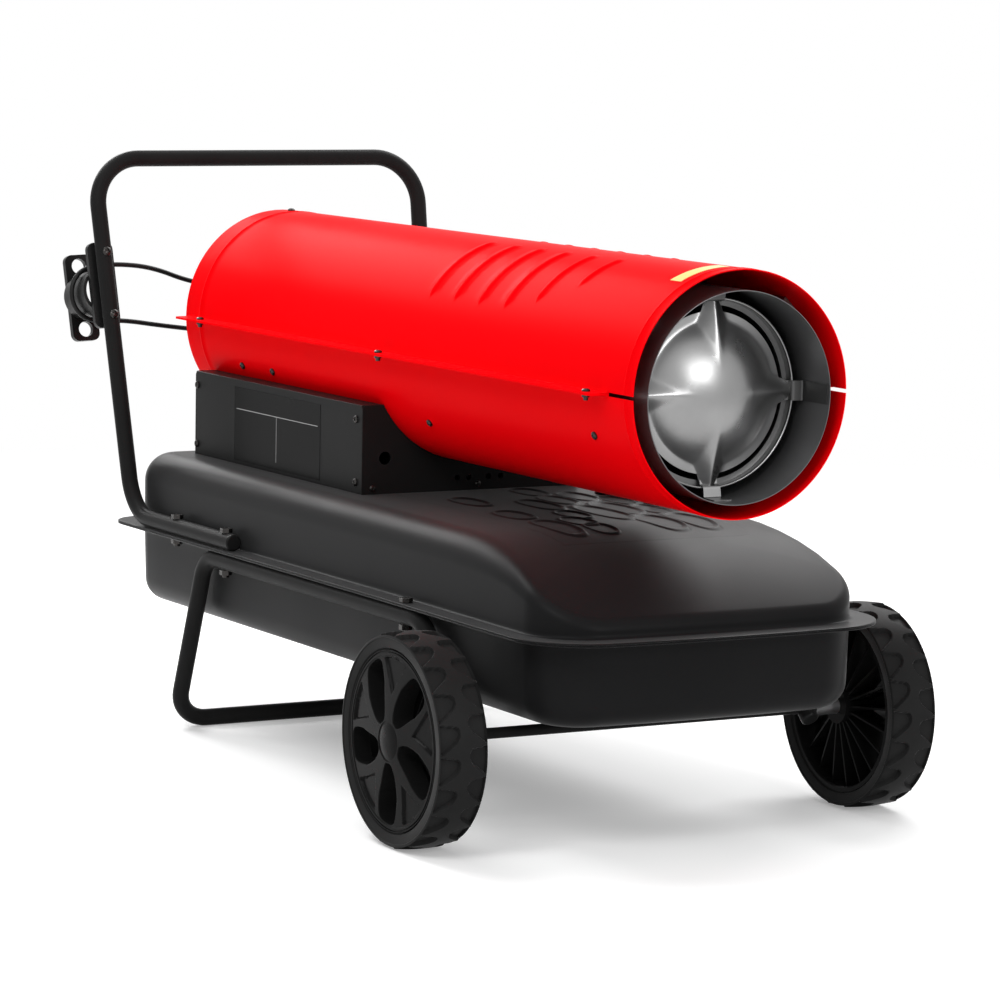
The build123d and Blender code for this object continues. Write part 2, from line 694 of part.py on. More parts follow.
with BuildPart() as upper_shell:
    add(half_shell(1))
    for rib in range(emboss_count):
        rib_x = axle_x - emboss_first_back + rib * emboss_pitch
        out = Vector(0, -cos(radians(emboss_low)), sin(radians(emboss_low)))
        rib_plane = Plane(origin=(rib_x, 0, shell_z), x_dir=(1, 0, 0),
                          z_dir=Vector(1, 0, 0).cross(out))
        with BuildSketch(rib_plane):
            with Locations((0, shell_radius + emboss_rise - emboss_radius)):
                Circle(emboss_radius)
            with Locations((0, shell_bore)):
                Rectangle(4 * emboss_radius, 4 * emboss_radius, align=(Align.CENTER, Align.MIN),
                          mode=Mode.INTERSECT)
        revolve(axis=shell_axis, revolution_arc=-(emboss_high - emboss_low))
    add(mirror(upper_shell.part, about=Plane.XZ))
save(upper_shell, "upper_shell")

with BuildPart() as lower_shell:
    add(half_shell(-1))
    # hole for the fuel and air lines and the wiring from the console
    add(upright(pickup_x, pickup_y, shell_z - shell_radius - 5, shell_z - 60, 16), mode=Mode.SUBTRACT)
save(lower_shell, "lower_shell")

# ---------------------------------------------------------------- rear fan guard
guard_wire = 1.5
guard_rings = 5
guard_spokes = 8
guard_bulge = 12.0
guard_hub = 16.0
guard_band = 34.0
guard_radius = shell_bore - gap
band_wall = 1.5
wire_span = guard_radius - band_wall


def guard_x(radius):
    """The guard's conical face at a radius from its middle."""
    return shell_rear_x + 3 - guard_bulge * (wire_span - radius) / wire_span


with BuildPart() as fan_guard:
    add(pipe_x(shell_rear_x, shell_rear_x + guard_band, guard_radius, guard_radius - band_wall,
               shell_z))
    add(pipe_x(guard_x(guard_hub) - 1.5, guard_x(guard_hub) + 1.5, guard_hub, 0, shell_z))
    for spoke in range(guard_spokes):
        angle = 2 * pi * (spoke + 0.5) / guard_spokes
        out = Vector(0, cos(angle), sin(angle))
        inner_end = Vector(guard_x(guard_hub), 0, shell_z) + out * (guard_hub - 4)
        outer_end = Vector(guard_x(wire_span), 0, shell_z) + out * (wire_span + 0.7)
        with BuildSketch(Plane(origin=inner_end, z_dir=outer_end - inner_end)):
            Circle(guard_wire)
        extrude(amount=(outer_end - inner_end).length)
    # the rings lie on the rear face of the spokes
    for ring in range(guard_rings):
        ring_radius = guard_hub + (wire_span - guard_hub) * (ring + 1) / (guard_rings + 1)
        with BuildSketch(Plane.XZ):
            with Locations((guard_x(ring_radius) - guard_wire, shell_z + ring_radius)):
                Circle(guard_wire)
        revolve(axis=shell_axis)
    for angle in guard_screw_angles:
        add(radial_bar(axle_x - guard_screw_back, angle, guard_radius - 8, guard_radius + 2,
                       seam_screw_radius + fit), mode=Mode.SUBTRACT)
save(fan_guard, "fan_guard")

# ---------------------------------------------------------------- heat shield, chamber, deflector
shield_space = 18.5            # outside of the shell to the outside of the heat shield
chamber_space = 11.5
liner_radius = shell_radius - shield_space
liner_wall = 1.0
liner_z = shell_z - 3.5
liner_length = 560.0
liner_front_x = shell_front_x - 1.0
chamber_radius = liner_radius - chamber_space
chamber_wall = 1.2
chamber_length = 520.0
chamber_front_x = axle_x + 126.0
chamber_rear_x = chamber_front_x - chamber_length
burner_radius = 60.0

with BuildPart() as heat_shield:
    add(pipe_x(liner_front_x - liner_length, liner_front_x, liner_radius, liner_radius - liner_wall,
               liner_z))
save(heat_shield, "heat_shield")

with BuildPart() as combustion_chamber:
    add(pipe_x(chamber_rear_x, chamber_front_x, chamber_radius, chamber_radius - chamber_wall,
               liner_z))
    add(pipe_x(chamber_rear_x, chamber_rear_x + chamber_wall, chamber_radius, burner_radius + gap,
               liner_z))
    add(pipe_x(chamber_front_x - 12, chamber_front_x - 9, chamber_radius - chamber_wall / 2,
               chamber_radius - 8, liner_z))
save(combustion_chamber, "combustion_chamber")

# small pressed brackets that carry the chamber in the shield and the shield in the shell
bracket_width = 18.0
bracket_length = 24.0
with BuildPart() as burner_brackets:
    for x_start in (chamber_front_x - bracket_length - 2, chamber_rear_x + 60):
        with BuildSketch(Plane.YZ.offset(x_start)):
            with Locations((0, liner_z)):
                with PolarLocations((chamber_radius + liner_radius) / 2, 4):
                    Rectangle(liner_radius - chamber_radius + 4, bracket_width)
                Circle(chamber_radius + fit, mode=Mode.SUBTRACT)
                Circle(liner_radius - liner_wall - fit, mode=Mode.INTERSECT)
        extrude(amount=bracket_length)
    for x_start in (slit_x - bracket_length - 4, liner_front_x - liner_length + 30):
        with BuildSketch(Plane.YZ.offset(x_start)):
            with Locations((0, liner_z)):
                with PolarLocations(liner_radius + 10, 4, start_angle=45):
                    Rectangle(30, bracket_width)
                Circle(liner_radius + fit, mode=Mode.SUBTRACT)
            with Locations((0, shell_z)):
                Circle(shell_bore - fit, mode=Mode.INTERSECT)
        extrude(amount=bracket_length)
save(burner_brackets, "burner_brackets")

# domed disc with four arms whose tabs hook over the chamber's rim
disc_radius = chamber_radius - 16.0
disc_rise = 26.0
disc_wall = 1.5
arm_width = 22.0
tab_length = 16.0
disc_x = chamber_front_x - 6.0
dome_sphere = (disc_radius ** 2 + disc_rise ** 2) / (2 * disc_rise)
half_rise = sqrt(dome_sphere ** 2 - disc_radius ** 2 / 4) - dome_sphere + disc_rise
with BuildPart() as deflector:
    with BuildSketch(Plane.XZ):
        with BuildLine():
            ThreePointArc((disc_x + disc_rise, liner_z), (disc_x + half_rise, liner_z + disc_radius / 2),
                          (disc_x, liner_z + disc_radius))
            Line((disc_x, liner_z + disc_radius), (disc_x - disc_wall, liner_z + disc_radius))
            ThreePointArc((disc_x - disc_wall, liner_z + disc_radius),
                          (disc_x + half_rise - disc_wall, liner_z + disc_radius / 2),
                          (disc_x + disc_rise - disc_wall, liner_z))
            Line((disc_x + disc_rise - disc_wall, liner_z), (disc_x + disc_rise, liner_z))
        make_face()
    revolve(axis=Axis((0, 0, liner_z), (1, 0, 0)))
    with BuildSketch(Plane.YZ.offset(disc_x - disc_wall)):
        with Locations((0, liner_z)):
            with PolarLocations(disc_radius - 2, 4):
                Rectangle(chamber_radius - chamber_wall - fit - disc_radius + 2, arm_width,
                          align=(Align.MIN, Align.CENTER))
            Circle(chamber_radius - chamber_wall - fit, mode=Mode.INTERSECT)
    extrude(amount=disc_wall)
    with BuildSketch(Plane.YZ.offset(disc_x - disc_wall)):
        with Locations((0, liner_z)):
            with PolarLocations(chamber_radius - chamber_wall - fit - disc_wall, 4):
                Rectangle(disc_wall, arm_width, align=(Align.MIN, Align.CENTER))
            Circle(chamber_radius - chamber_wall - fit, mode=Mode.INTERSECT)
    extrude(amount=tab_length)
save(deflector, "deflector")

# ---------------------------------------------------------------- burner, motor, fan and air pump
burner_length = 46.0
motor_radius = 52.0
motor_length = 128.0
fan_back = 585.0
fan_radius = shell_bore - 12.8
fan_hub = 24.0
fan_width = 34.0
blade_count = 6
shaft_radius = 5.0
pump_radius = 42.0
pump_length = 30.0
motor_front_x = axle_x - fan_back - fan_width / 2 - 22
motor_rear_x = motor_front_x - motor_length
pump_rear_x = motor_rear_x - 6 - pump_length
rotor_axis = Axis((0, 0, shell_z), (1, 0, 0))
nozzle_radius = 9.0

with BuildPart() as burner_head:
    add(pipe_x(chamber_rear_x - burner_length / 2, chamber_rear_x + burner_length / 2, burner_radius,
               burner_radius - 2, liner_z))
    add(pipe_x(chamber_rear_x - burner_length / 2, chamber_rear_x - burner_length / 2 + 2,
               burner_radius + 12, nozzle_radius + fit, liner_z))
    add(pipe_x(chamber_rear_x - 4, chamber_rear_x, burner_radius + 12, burner_radius - 1, liner_z))
    with BuildSketch(Plane.YZ.offset(chamber_rear_x + burner_length / 2 - 2)):
        with Locations((0, liner_z)):
            Circle(burner_radius - 1)
            Circle(20, mode=Mode.SUBTRACT)
            with PolarLocations(40, 8):
                Rectangle(26, 5, rotation=25, mode=Mode.SUBTRACT)
    extrude(amount=2)
save(burner_head, "burner_head")

with BuildPart() as fuel_nozzle:
    add(pipe_x(chamber_rear_x - burner_length / 2 - 12, chamber_rear_x + 4, nozzle_radius, 0, liner_z))
    add(pipe_x(chamber_rear_x + 4, chamber_rear_x + 12, 5, 0, liner_z))
save(fuel_nozzle, "fuel_nozzle")

with BuildPart() as spark_electrodes:
    for y_side in (-1, 1):
        add(pipe_x(chamber_rear_x - burner_length / 2 + 2 + gap, chamber_rear_x + 16, 4, 0, liner_z + 16)
            .moved(Location((0, y_side * 7, 0))))
        add(pipe_x(chamber_rear_x + 16, chamber_rear_x + 30, 1.2, 0, liner_z + 16)
            .moved(Location((0, y_side * 7, 0))))
    add(slab((chamber_rear_x - 8, -14, liner_z + nozzle_radius + gap),
             (chamber_rear_x - 2, 14, liner_z + 24)))
save(spark_electrodes, "spark_electrodes")

with BuildPart() as flame_sensor:
    sensor_x = chamber_rear_x - burner_length / 2
    add(pipe_x(sensor_x - 22, sensor_x - gap, 6, 0, liner_z + 34))
save(flame_sensor, "flame_sensor")

with BuildPart() as motor:
    add(pipe_x(motor_rear_x, motor_front_x, motor_radius, 0, shell_z))
    chamfer(motor.edges().filter_by(GeomType.CIRCLE), 4)
    add(pipe_x(motor_front_x, motor_front_x + 8, 16, 0, shell_z))
    add(pipe_x(motor_rear_x - 8, motor_front_x + 9, shaft_radius + fit, 0, shell_z),
        mode=Mode.SUBTRACT)
save(motor, "motor")

mount_width = 60.0
with BuildPart() as motor_mount:
    mount_x = (motor_front_x + motor_rear_x) / 2 - mount_width / 2
    with BuildSketch(Plane.YZ.offset(mount_x)):
        with Locations((0, shell_z)):
            Circle(motor_radius + fit + 2.5)
            Circle(motor_radius + fit, mode=Mode.SUBTRACT)
            with Locations((0, -motor_radius - fit)):
                Rectangle(50, shell_bore - fit - motor_radius, align=(Align.CENTER, Align.MAX))
                with Locations((0, -2.5)):
                    Rectangle(42, shell_bore - motor_radius - 14, align=(Align.CENTER, Align.MAX),
                              mode=Mode.SUBTRACT)
            Circle(shell_bore - fit, mode=Mode.INTERSECT)
    extrude(amount=mount_width)
save(motor_mount, "motor_mount")

with BuildPart() as fan:
    fan_x = axle_x - fan_back
    add(pipe_x(fan_x - fan_width / 2, fan_x + fan_width / 2, fan_hub, shaft_radius + fit, shell_z))
    for pitch, radius in ((48.0, fan_hub - 3), (24.0, fan_radius)):
        with BuildSketch(Plane(origin=(fan_x, 0, shell_z + radius), x_dir=(1, 0, 0),
                               z_dir=(0, 0, 1))):
            Rectangle(34 + radius / 4, 2.5, rotation=90 - pitch)
    loft()
    blade = fan.part
    for turn in range(1, blade_count):
        add(blade.rotate(rotor_axis, 360 / blade_count * turn))
    add(pipe_x(fan_x - fan_width, fan_x + fan_width, shaft_radius + fit, 0, shell_z),
        mode=Mode.SUBTRACT)
save(fan, "fan")

with BuildPart() as motor_shaft:
    add(pipe_x(pump_rear_x + 6, fan_x + fan_width / 2 + 4, shaft_radius, 0, shell_z))
save(motor_shaft, "motor_shaft")

with BuildPart() as pump_housing:
    add(pipe_x(pump_rear_x, motor_rear_x - 6, pump_radius, 0, shell_z))
    add(pipe_x(motor_rear_x - 6, motor_rear_x, pump_radius - 8, 0, shell_z))
    add(pipe_x(pump_rear_x + 4, motor_rear_x - 10, pump_radius - 8, 0, shell_z), mode=Mode.SUBTRACT)
    add(pipe_x(pump_rear_x + 4, motor_rear_x + 1, shaft_radius + fit, 0, shell_z),
        mode=Mode.SUBTRACT)
save(pump_housing, "pump_housing")

with BuildPart() as pump_rotor:
    add(pipe_x(pump_rear_x + 4 + gap, motor_rear_x - 10 - gap, pump_radius - 11, shaft_radius + fit,
               shell_z))
    for turn in range(4):
        slot = slab((pump_rear_x, -1.5, shell_z + 16), (motor_rear_x, 1.5, shell_z + pump_radius))
        add(slot.rotate(rotor_axis, 90 * turn), mode=Mode.SUBTRACT)
save(pump_rotor, "pump_rotor")

with BuildPart() as pump_filter:
    add(pipe_x(pump_rear_x - 22, pump_rear_x, pump_radius - 4, 0, shell_z))
    fillet(pump_filter.faces().sort_by(Axis.X)[0].edges(), 4)
save(pump_filter, "pump_filter")

# ---------------------------------------------------------------- console between tank and shell
console_half = shell_radius + 11.5
console_top = 422.0
console_corner = 5.0
cover_inner = console_half - sheet
return_depth = 18.0
cover_screw_inset = 15.0
cover_screw_rear_inset = 6.0
cover_screw_heights = (405.0, 333.0)
cover_screw_radius = 2.0
cable_hole = (-112.0, 361.0, 7.5)          # y, z, radius
vent_holes = ((-18.0, 335.0), (-3.0, 335.0), (23.0, 335.0), (39.0, 335.0))
vent_hole_radius = 3.5
gland_y = 95.0
gland_clearance = 23.3         # middle of the gland to the underside of the shell
gland_z = round(shell_z - sqrt(shell_radius ** 2 - gland_y ** 2) - gland_clearance, 1)
gland_radius = 8.0


def end_plate(x_outer, inward):
    """A console end plate whose outer face is at x_outer; inward is -1 or 1 along X."""
    with BuildPart() as blank:
        with BuildSketch(Plane.YZ.offset(x_outer)):
            with Locations((0, dome_top)):
                Rectangle(2 * console_half, console_top - dome_top, align=(Align.CENTER, Align.MIN))
            fillet(vertices().group_by(Axis.Y)[-1], console_corner)
            with Locations((0, shell_z)):
                Circle(shell_radius + gap, mode=Mode.SUBTRACT)
            with Locations(*[(y, bracket_screw_z) for y in bracket_places]):
                Circle(bracket_screw_radius + fit, mode=Mode.SUBTRACT)
        extrude(amount=inward * sheet)
        # returns that the side covers screw to
        x_return = x_outer + inward * sheet
        for y_side in (-1, 1):
            edge = sorted((x_return, x_return + inward * return_depth))
            face = sorted((y_side * (cover_inner - gap - sheet), y_side * (cover_inner - gap)))
            add(slab((edge[0], face[0], dome_top + 4), (edge[1], face[1], console_top - 8)))
        inset = cover_screw_inset if inward < 0 else cover_screw_rear_inset
        for height in cover_screw_heights:
            add(across(x_outer + inward * inset, height, -console_half, console_half,
                       cover_screw_radius + fit), mode=Mode.SUBTRACT)
    return blank.part


with BuildPart() as front_plate:
    add(end_plate(console_front_x, -1))
    add(pipe_x(console_front_x - 5, console_front_x + 5, cable_hole[2], 0, cable_hole[1])
        .moved(Location((0, cable_hole[0], 0))), mode=Mode.SUBTRACT)
    for y, z in vent_holes:
        add(pipe_x(console_front_x - 5, console_front_x + 5, vent_hole_radius, 0, z)
            .moved(Location((0, y, 0))), mode=Mode.SUBTRACT)
save(front_plate, "front_plate")

with BuildPart() as rear_plate:
    add(end_plate(console_rear_x, 1))
    add(pipe_x(console_rear_x - 5, console_rear_x + 5, gland_radius + fit, 0, gland_z)
        .moved(Location((0, gland_y, 0))), mode=Mode.SUBTRACT)
save(rear_plate, "rear_plate")

cover_front_x = console_front_x - sheet - gap
cover_rear_x = console_rear_x + sheet + gap
fold_inner = sqrt((shell_radius + gap) ** 2 - (shell_z - console_top + sheet) ** 2) + 1
with BuildPart() as near_cover:
    add(slab((cover_rear_x, -console_half, dome_top + gap), (cover_front_x, -cover_inner, console_top)))
    add(slab((cover_rear_x, -console_half, console_top - sheet),
             (cover_front_x, -fold_inner, console_top)))
    outer_bend = near_cover.edges().filter_by(Axis.X).sort_by(
        lambda e: hypot(e.center().Y + console_half, e.center().Z - console_top))[0]
    fillet(outer_bend, sheet)
    for height in cover_screw_heights:
        for x in (console_front_x - cover_screw_inset, console_rear_x + cover_screw_rear_inset):
            add(across(x, height, -console_half - 1, -cover_inner + 1, cover_screw_radius + fit),
                mode=Mode.SUBTRACT)
save(near_cover, "near_cover")

# the far cover carries the controls: distance back from the axle along the cover
switch_back = 760.0
thermostat_back = 630.0
control_z = 372.0
switch_width = 27.0
switch_height = 21.0
dial_shaft_radius = 3.0
switch_x = axle_x - switch_back
thermostat_x = axle_x - thermostat_back

with BuildPart() as far_cover:
    add(mirror(near_cover.part, about=Plane.XZ))
    add(slab((switch_x - switch_width / 2, cover_inner - 1, control_z - switch_height / 2),
             (switch_x + switch_width / 2, console_half + 1, control_z + switch_height / 2)),
        mode=Mode.SUBTRACT)
    add(across(thermostat_x, control_z, cover_inner - 1, console_half + 1, dial_shaft_radius + 1),
        mode=Mode.SUBTRACT)
save(far_cover, "far_cover")

# blank panel where the large label sits
label_back = 724.0
label_length = 228.0
label_low = 325.0
label_height = 88.0
film = 0.4
with BuildPart() as label_panel:
    add(slab((axle_x - label_back, -console_half - film, label_low),
             (axle_x - label_back + label_length, -console_half, label_low + label_height)))
save(label_panel, "label_panel")

# ---------------------------------------------------------------- controls on the far cover
bezel = 1.5
rocker_swing = 20.0            # degrees from off to on
rocker_pivot_y = console_half + 1.0
with BuildPart() as switch_housing:
    add(slab((switch_x - switch_width / 2 - 2, console_half, control_z - switch_height / 2 - 2),
             (switch_x + switch_width / 2 + 2, console_half + bezel, control_z + switch_height / 2 + 2)))
    add(slab((switch_x - switch_width / 2 + fit, console_half - 24, control_z - switch_height / 2 + fit),
             (switch_x + switch_width / 2 - fit, console_half, control_z + switch_height / 2 - fit)))
    add(slab((switch_x - 12, console_half - 12, control_z - 9),
             (switch_x + 12, console_half + bezel + 1, control_z + 9)), mode=Mode.SUBTRACT)
    with BuildSketch(Plane.YZ.offset(switch_x - 13)):
        with Locations((rocker_pivot_y - 2, control_z)):
            Circle(1.2 + fit)
    extrude(amount=26, mode=Mode.SUBTRACT)
save(switch_housing, "switch_housing")

with BuildPart() as rocker:
    with BuildSketch(Plane.YZ.offset(switch_x - 11.5)):
        with BuildLine():
            Polyline((rocker_pivot_y + 2.5, control_z + 7), (rocker_pivot_y, control_z),
                     (rocker_pivot_y + 2.5, control_z - 7), (rocker_pivot_y - 7, control_z - 4.5),
                     (rocker_pivot_y - 7, control_z + 4.5), close=True)
        make_face()
    extrude(amount=23)
    rocker_pin = pipe_x(switch_x - 12.8, switch_x + 12.8, 1.2, 0, control_z)
    add(rocker_pin.moved(Location((0, rocker_pivot_y - 2, 0))))
    tilted = rocker.part.rotate(Axis((0, rocker_pivot_y - 2, control_z), (1, 0, 0)), -rocker_swing / 2)
    add(tilted, mode=Mode.REPLACE)
save(rocker, "rocker")

knob_radius = 17.0
knob_depth = 16.0
thermostat_depth = 32.0
with BuildPart() as thermostat:
    add(across(thermostat_x, control_z, cover_inner - thermostat_depth, cover_inner, 17))
    add(across(thermostat_x, control_z, cover_inner - 18, cover_inner + 1, dial_shaft_radius + fit),
        mode=Mode.SUBTRACT)
save(thermostat, "thermostat")

with BuildPart() as thermostat_knob:
    add(across(thermostat_x, control_z, console_half + 0.8, console_half + knob_depth, knob_radius))
    chamfer(thermostat_knob.faces().sort_by(Axis.Y)[-1].edges(), 2)
    add(across(thermostat_x, control_z, cover_inner - 16, console_half + 1, dial_shaft_radius))
    add(slab((thermostat_x - 3, console_half + knob_depth, control_z - knob_radius + 3),
             (thermostat_x + 3, console_half + knob_depth + 5, control_z + knob_radius - 3)))
save(thermostat_knob, "thermostat_knob")

# ---------------------------------------------------------------- electrics and lines in the console
board_back = 780.0
board_length = 140.0
board_width = 75.0
board_thickness = 1.6
board_z = dome_top + 18.0
side_room = 11.5               # near side of the console to the board
board_x = axle_x - board_back
board_y = side_room - console_half
post_inset = 6.0
# parts on the board: x and y of their rear corner on it, then length, width and height
board_parts = ((20, 2, 30, 26, 18), (62, 10, 16, 16, 22), (90, 3, 34, 22, 12), (60, 49, 44, 12, 9))
with BuildPart() as control_board:
    add(slab((board_x, board_y, board_z),
             (board_x + board_length, board_y + board_width, board_z + board_thickness)))
    for x in (board_x + post_inset, board_x + board_length - post_inset):
        for y in (board_y + post_inset, board_y + board_width - post_inset):
            add(upright(x, y, dome_top, board_z, 3))
    for x, y, length, width, height in board_parts:
        corner = Vector(board_x + x, board_y + y, board_z + board_thickness)
        add(slab(corner, corner + Vector(length, width, height)))
save(control_board, "control_board")

transformer_back = 600.0
transformer_length = 92.0
transformer_width = 44.0
transformer_height = 44.0
coil_x = axle_x - transformer_back
coil_y = side_room + 2 - console_half
with BuildPart() as ignition_transformer:
    add(slab((coil_x, coil_y, dome_top), (coil_x + transformer_length, coil_y + transformer_width,
                                          dome_top + transformer_height)))
    add(slab((coil_x - 10, coil_y + 4, dome_top),
             (coil_x + transformer_length + 10, coil_y + transformer_width - 4, dome_top + 3)))
    for x in (coil_x + 30, coil_x + 62):
        add(pipe_x(x - 5, x + 5, 4, 0, dome_top + 30)
            .moved(Location((0, coil_y + transformer_width + 3, 0))))
save(ignition_transformer, "ignition_transformer")


def bend_radii(points):
    """The arc radius at each inner point: 0.45 of its shorter run over the tangent of half the turn."""
    radii = []
    for before, here, after in zip(points, points[1:], points[2:]):
        turn = (here - before).get_angle(after - here)
        radii.append(0.45 * min((here - before).length, (after - here).length)
                     / tan(radians(turn / 2)))
    return radii


def tube_along(points, radius, name):
    """A round cord or hose: straight runs joined by tangent arcs."""
    radii = bend_radii(points)
    with BuildPart() as blank:
        with BuildLine() as path:
            FilletPolyline(*points, radius=radii)
        with BuildSketch(Plane(origin=path.line @ 0, z_dir=path.line % 0)):
            Circle(radius)
        sweep()
    length = sum(edge.length for edge in path.edges())
    expected = pi * radius ** 2 * length
    print(name, "length", round(length), "volume ratio",
          round(blank.part.volume / expected, 4), "radii", [round(r) for r in radii])
    return blank.part


nozzle_rear_x = chamber_rear_x - burner_length / 2 - 12
hose_radius = pickup_radius
fuel_route = [Vector(pickup_x, pickup_y, pickup_top_z), Vector(pickup_x, pickup_y, pickup_top_z + 48),
              Vector(pickup_x + 10, pickup_y - 14, pickup_top_z + 92),
              Vector(pickup_x + 30, pickup_y - 44, liner_z - 8),
              Vector(nozzle_rear_x - 34, 0, liner_z), Vector(nozzle_rear_x, 0, liner_z)]
with BuildPart() as fuel_line:
    add(tube_along(fuel_route, hose_radius, "fuel line"))
save(fuel_line, "fuel_line")

# ---------------------------------------------------------------- cord holders, cord and plug
spool_wall = 4.0
holder_hole_radius = 9.5
holder_hole_pitch = 79.0
holder_corner = 9.0


def spool_outline(inset):
    """Rounded on the outer side and flat on the inner one; local y runs down the leg."""
    with BuildSketch() as outline:
        with Locations((-spool_inset, holder_drop)):
            Circle(spool_radius - inset)
            Rectangle(2 * spool_radius, 2 * spool_radius, align=(Align.MAX, Align.CENTER),
                      mode=Mode.SUBTRACT)
        with Locations((-spool_inset, holder_drop)):
            Rectangle(holder_width / 2 - spool_inset - inset, 2 * (spool_radius - inset),
                      align=(Align.MAX, Align.CENTER))
    return outline.sketch


with BuildPart() as far_cord_holder:
    with BuildSketch(holder_plane.offset(tube_radius)):
        RectangleRounded(holder_width - 2, holder_height - 2, holder_corner)
    extrude(amount=holder_base)
    with BuildSketch(holder_plane.offset(holder_reach - holder_plate)):
        with Locations((0, holder_drop)):
            RectangleRounded(holder_width, holder_height, holder_corner)
            with GridLocations(0, holder_hole_pitch, 1, 2):
                Circle(holder_hole_radius, mode=Mode.SUBTRACT)
    extrude(amount=holder_plate)
    with BuildSketch(holder_plane.offset(tube_radius + holder_base)):
        add(spool_outline(0))
    extrude(amount=holder_reach - holder_plate - tube_radius - holder_base)
    with BuildSketch(holder_plane.offset(holder_reach)):
        add(spool_outline(spool_wall))
    extrude(amount=-(holder_reach - tube_radius - holder_base), mode=Mode.SUBTRACT)
    with BuildSketch(holder_plane.offset(tube_radius - 1)):
        with GridLocations(0, holder_screw_pitch, 1, 2):
            Circle(holder_screw_radius + fit)
    extrude(amount=holder_base + 2, mode=Mode.SUBTRACT)
save(far_cord_holder, "far_cord_holder")

with BuildPart() as near_cord_holder:
    add(mirror(far_cord_holder.part, about=Plane.XZ))
save(near_cord_holder, "near_cord_holder")

# The supply cord leaves the gland, goes up behind the far leg, over to the near holder and
# back, once round each spool, and ends in a plug that hangs from the far holder.
cord_route = [Vector(*point) for point in (
    (-428, gland_y, gland_z), (-464, gland_y, gland_z), (-500, 101, 399), (-518, 128, 442),
    (-526.5, 177, 472), (-530.5, 228, 476.5), (-535.5, 248.5, 494.5), (-542.5, 249.5, 522),
    (-548, 230.5, 542), (-550, 181, 543), (-553, 122, 539), (-555.5, 56, 519),
    (-556.5, -16, 508.5), (-556.5, -84, 519), (-556, -135, 538), (-555.5, -182, 543.5),
    (-551, -230.5, 541.5), (-549, -249.5, 520.5), (-545.5, -248.5, 492.5), (-544, -228, 473.5),
    (-551, -180, 474), (-552, -122, 465), (-553.5, -52, 456.5), (-554, 22, 453.5),
    (-554, 92, 459), (-553.5, 140, 469), (-553, 182, 473.5),
    (-551, 228, 472), (-557.5, 248.5, 489.5), (-565.5, 249.5, 517), (-572.5, 230.5, 537),
    (-573.5, 183, 537.5), (-579, 145, 513), (-583, 127, 470), (-583, 127, 425))]
with BuildPart() as power_cord:
    add(tube_along(cord_route, cord_radius, "power cord"))
save(power_cord, "power_cord")

gland_end_x = cord_route[0].X
with BuildPart() as cord_gland:
    for x_start, x_end, radius in ((gland_end_x, console_rear_x - 3, gland_radius - 1),
                                   (console_rear_x - 3, console_rear_x, gland_radius + 3),
                                   (console_rear_x, console_rear_x + sheet, gland_radius),
                                   (console_rear_x + sheet, console_rear_x + sheet + 5,
                                    gland_radius + 3)):
        add(pipe_x(x_start, x_end, radius, 0, gland_z).moved(Location((0, gland_y, 0))))
save(cord_gland, "cord_gland")

plug_body = 34.0
plug_relief = 26.0
plug_radius = 17.0
pin_radius = 2.4
pin_length = 19.0
pin_pitch = 19.0
plug_top = cord_route[-1]
with BuildPart() as plug:
    with BuildSketch(Plane(origin=plug_top, z_dir=(0, 0, -1))):
        Circle(cord_radius + 1.5)
    with BuildSketch(Plane(origin=plug_top - Vector(0, 0, plug_relief), z_dir=(0, 0, -1))):
        Circle(cord_radius + 5)
    loft()
    body_z = plug_top.Z - plug_relief
    add(upright(plug_top.X, plug_top.Y, body_z - plug_body, body_z, plug_radius))
    fillet(plug.edges().filter_by(GeomType.CIRCLE).filter_by(
        lambda e: abs(e.radius - plug_radius) < 0.1), 4)
save(plug, "plug")

with BuildPart() as plug_pins:
    for y_side in (-1, 1):
        add(upright(plug_top.X, plug_top.Y + y_side * pin_pitch / 2, body_z - plug_body - pin_length,
                    body_z - plug_body, pin_radius))
save(plug_pins, "plug_pins")

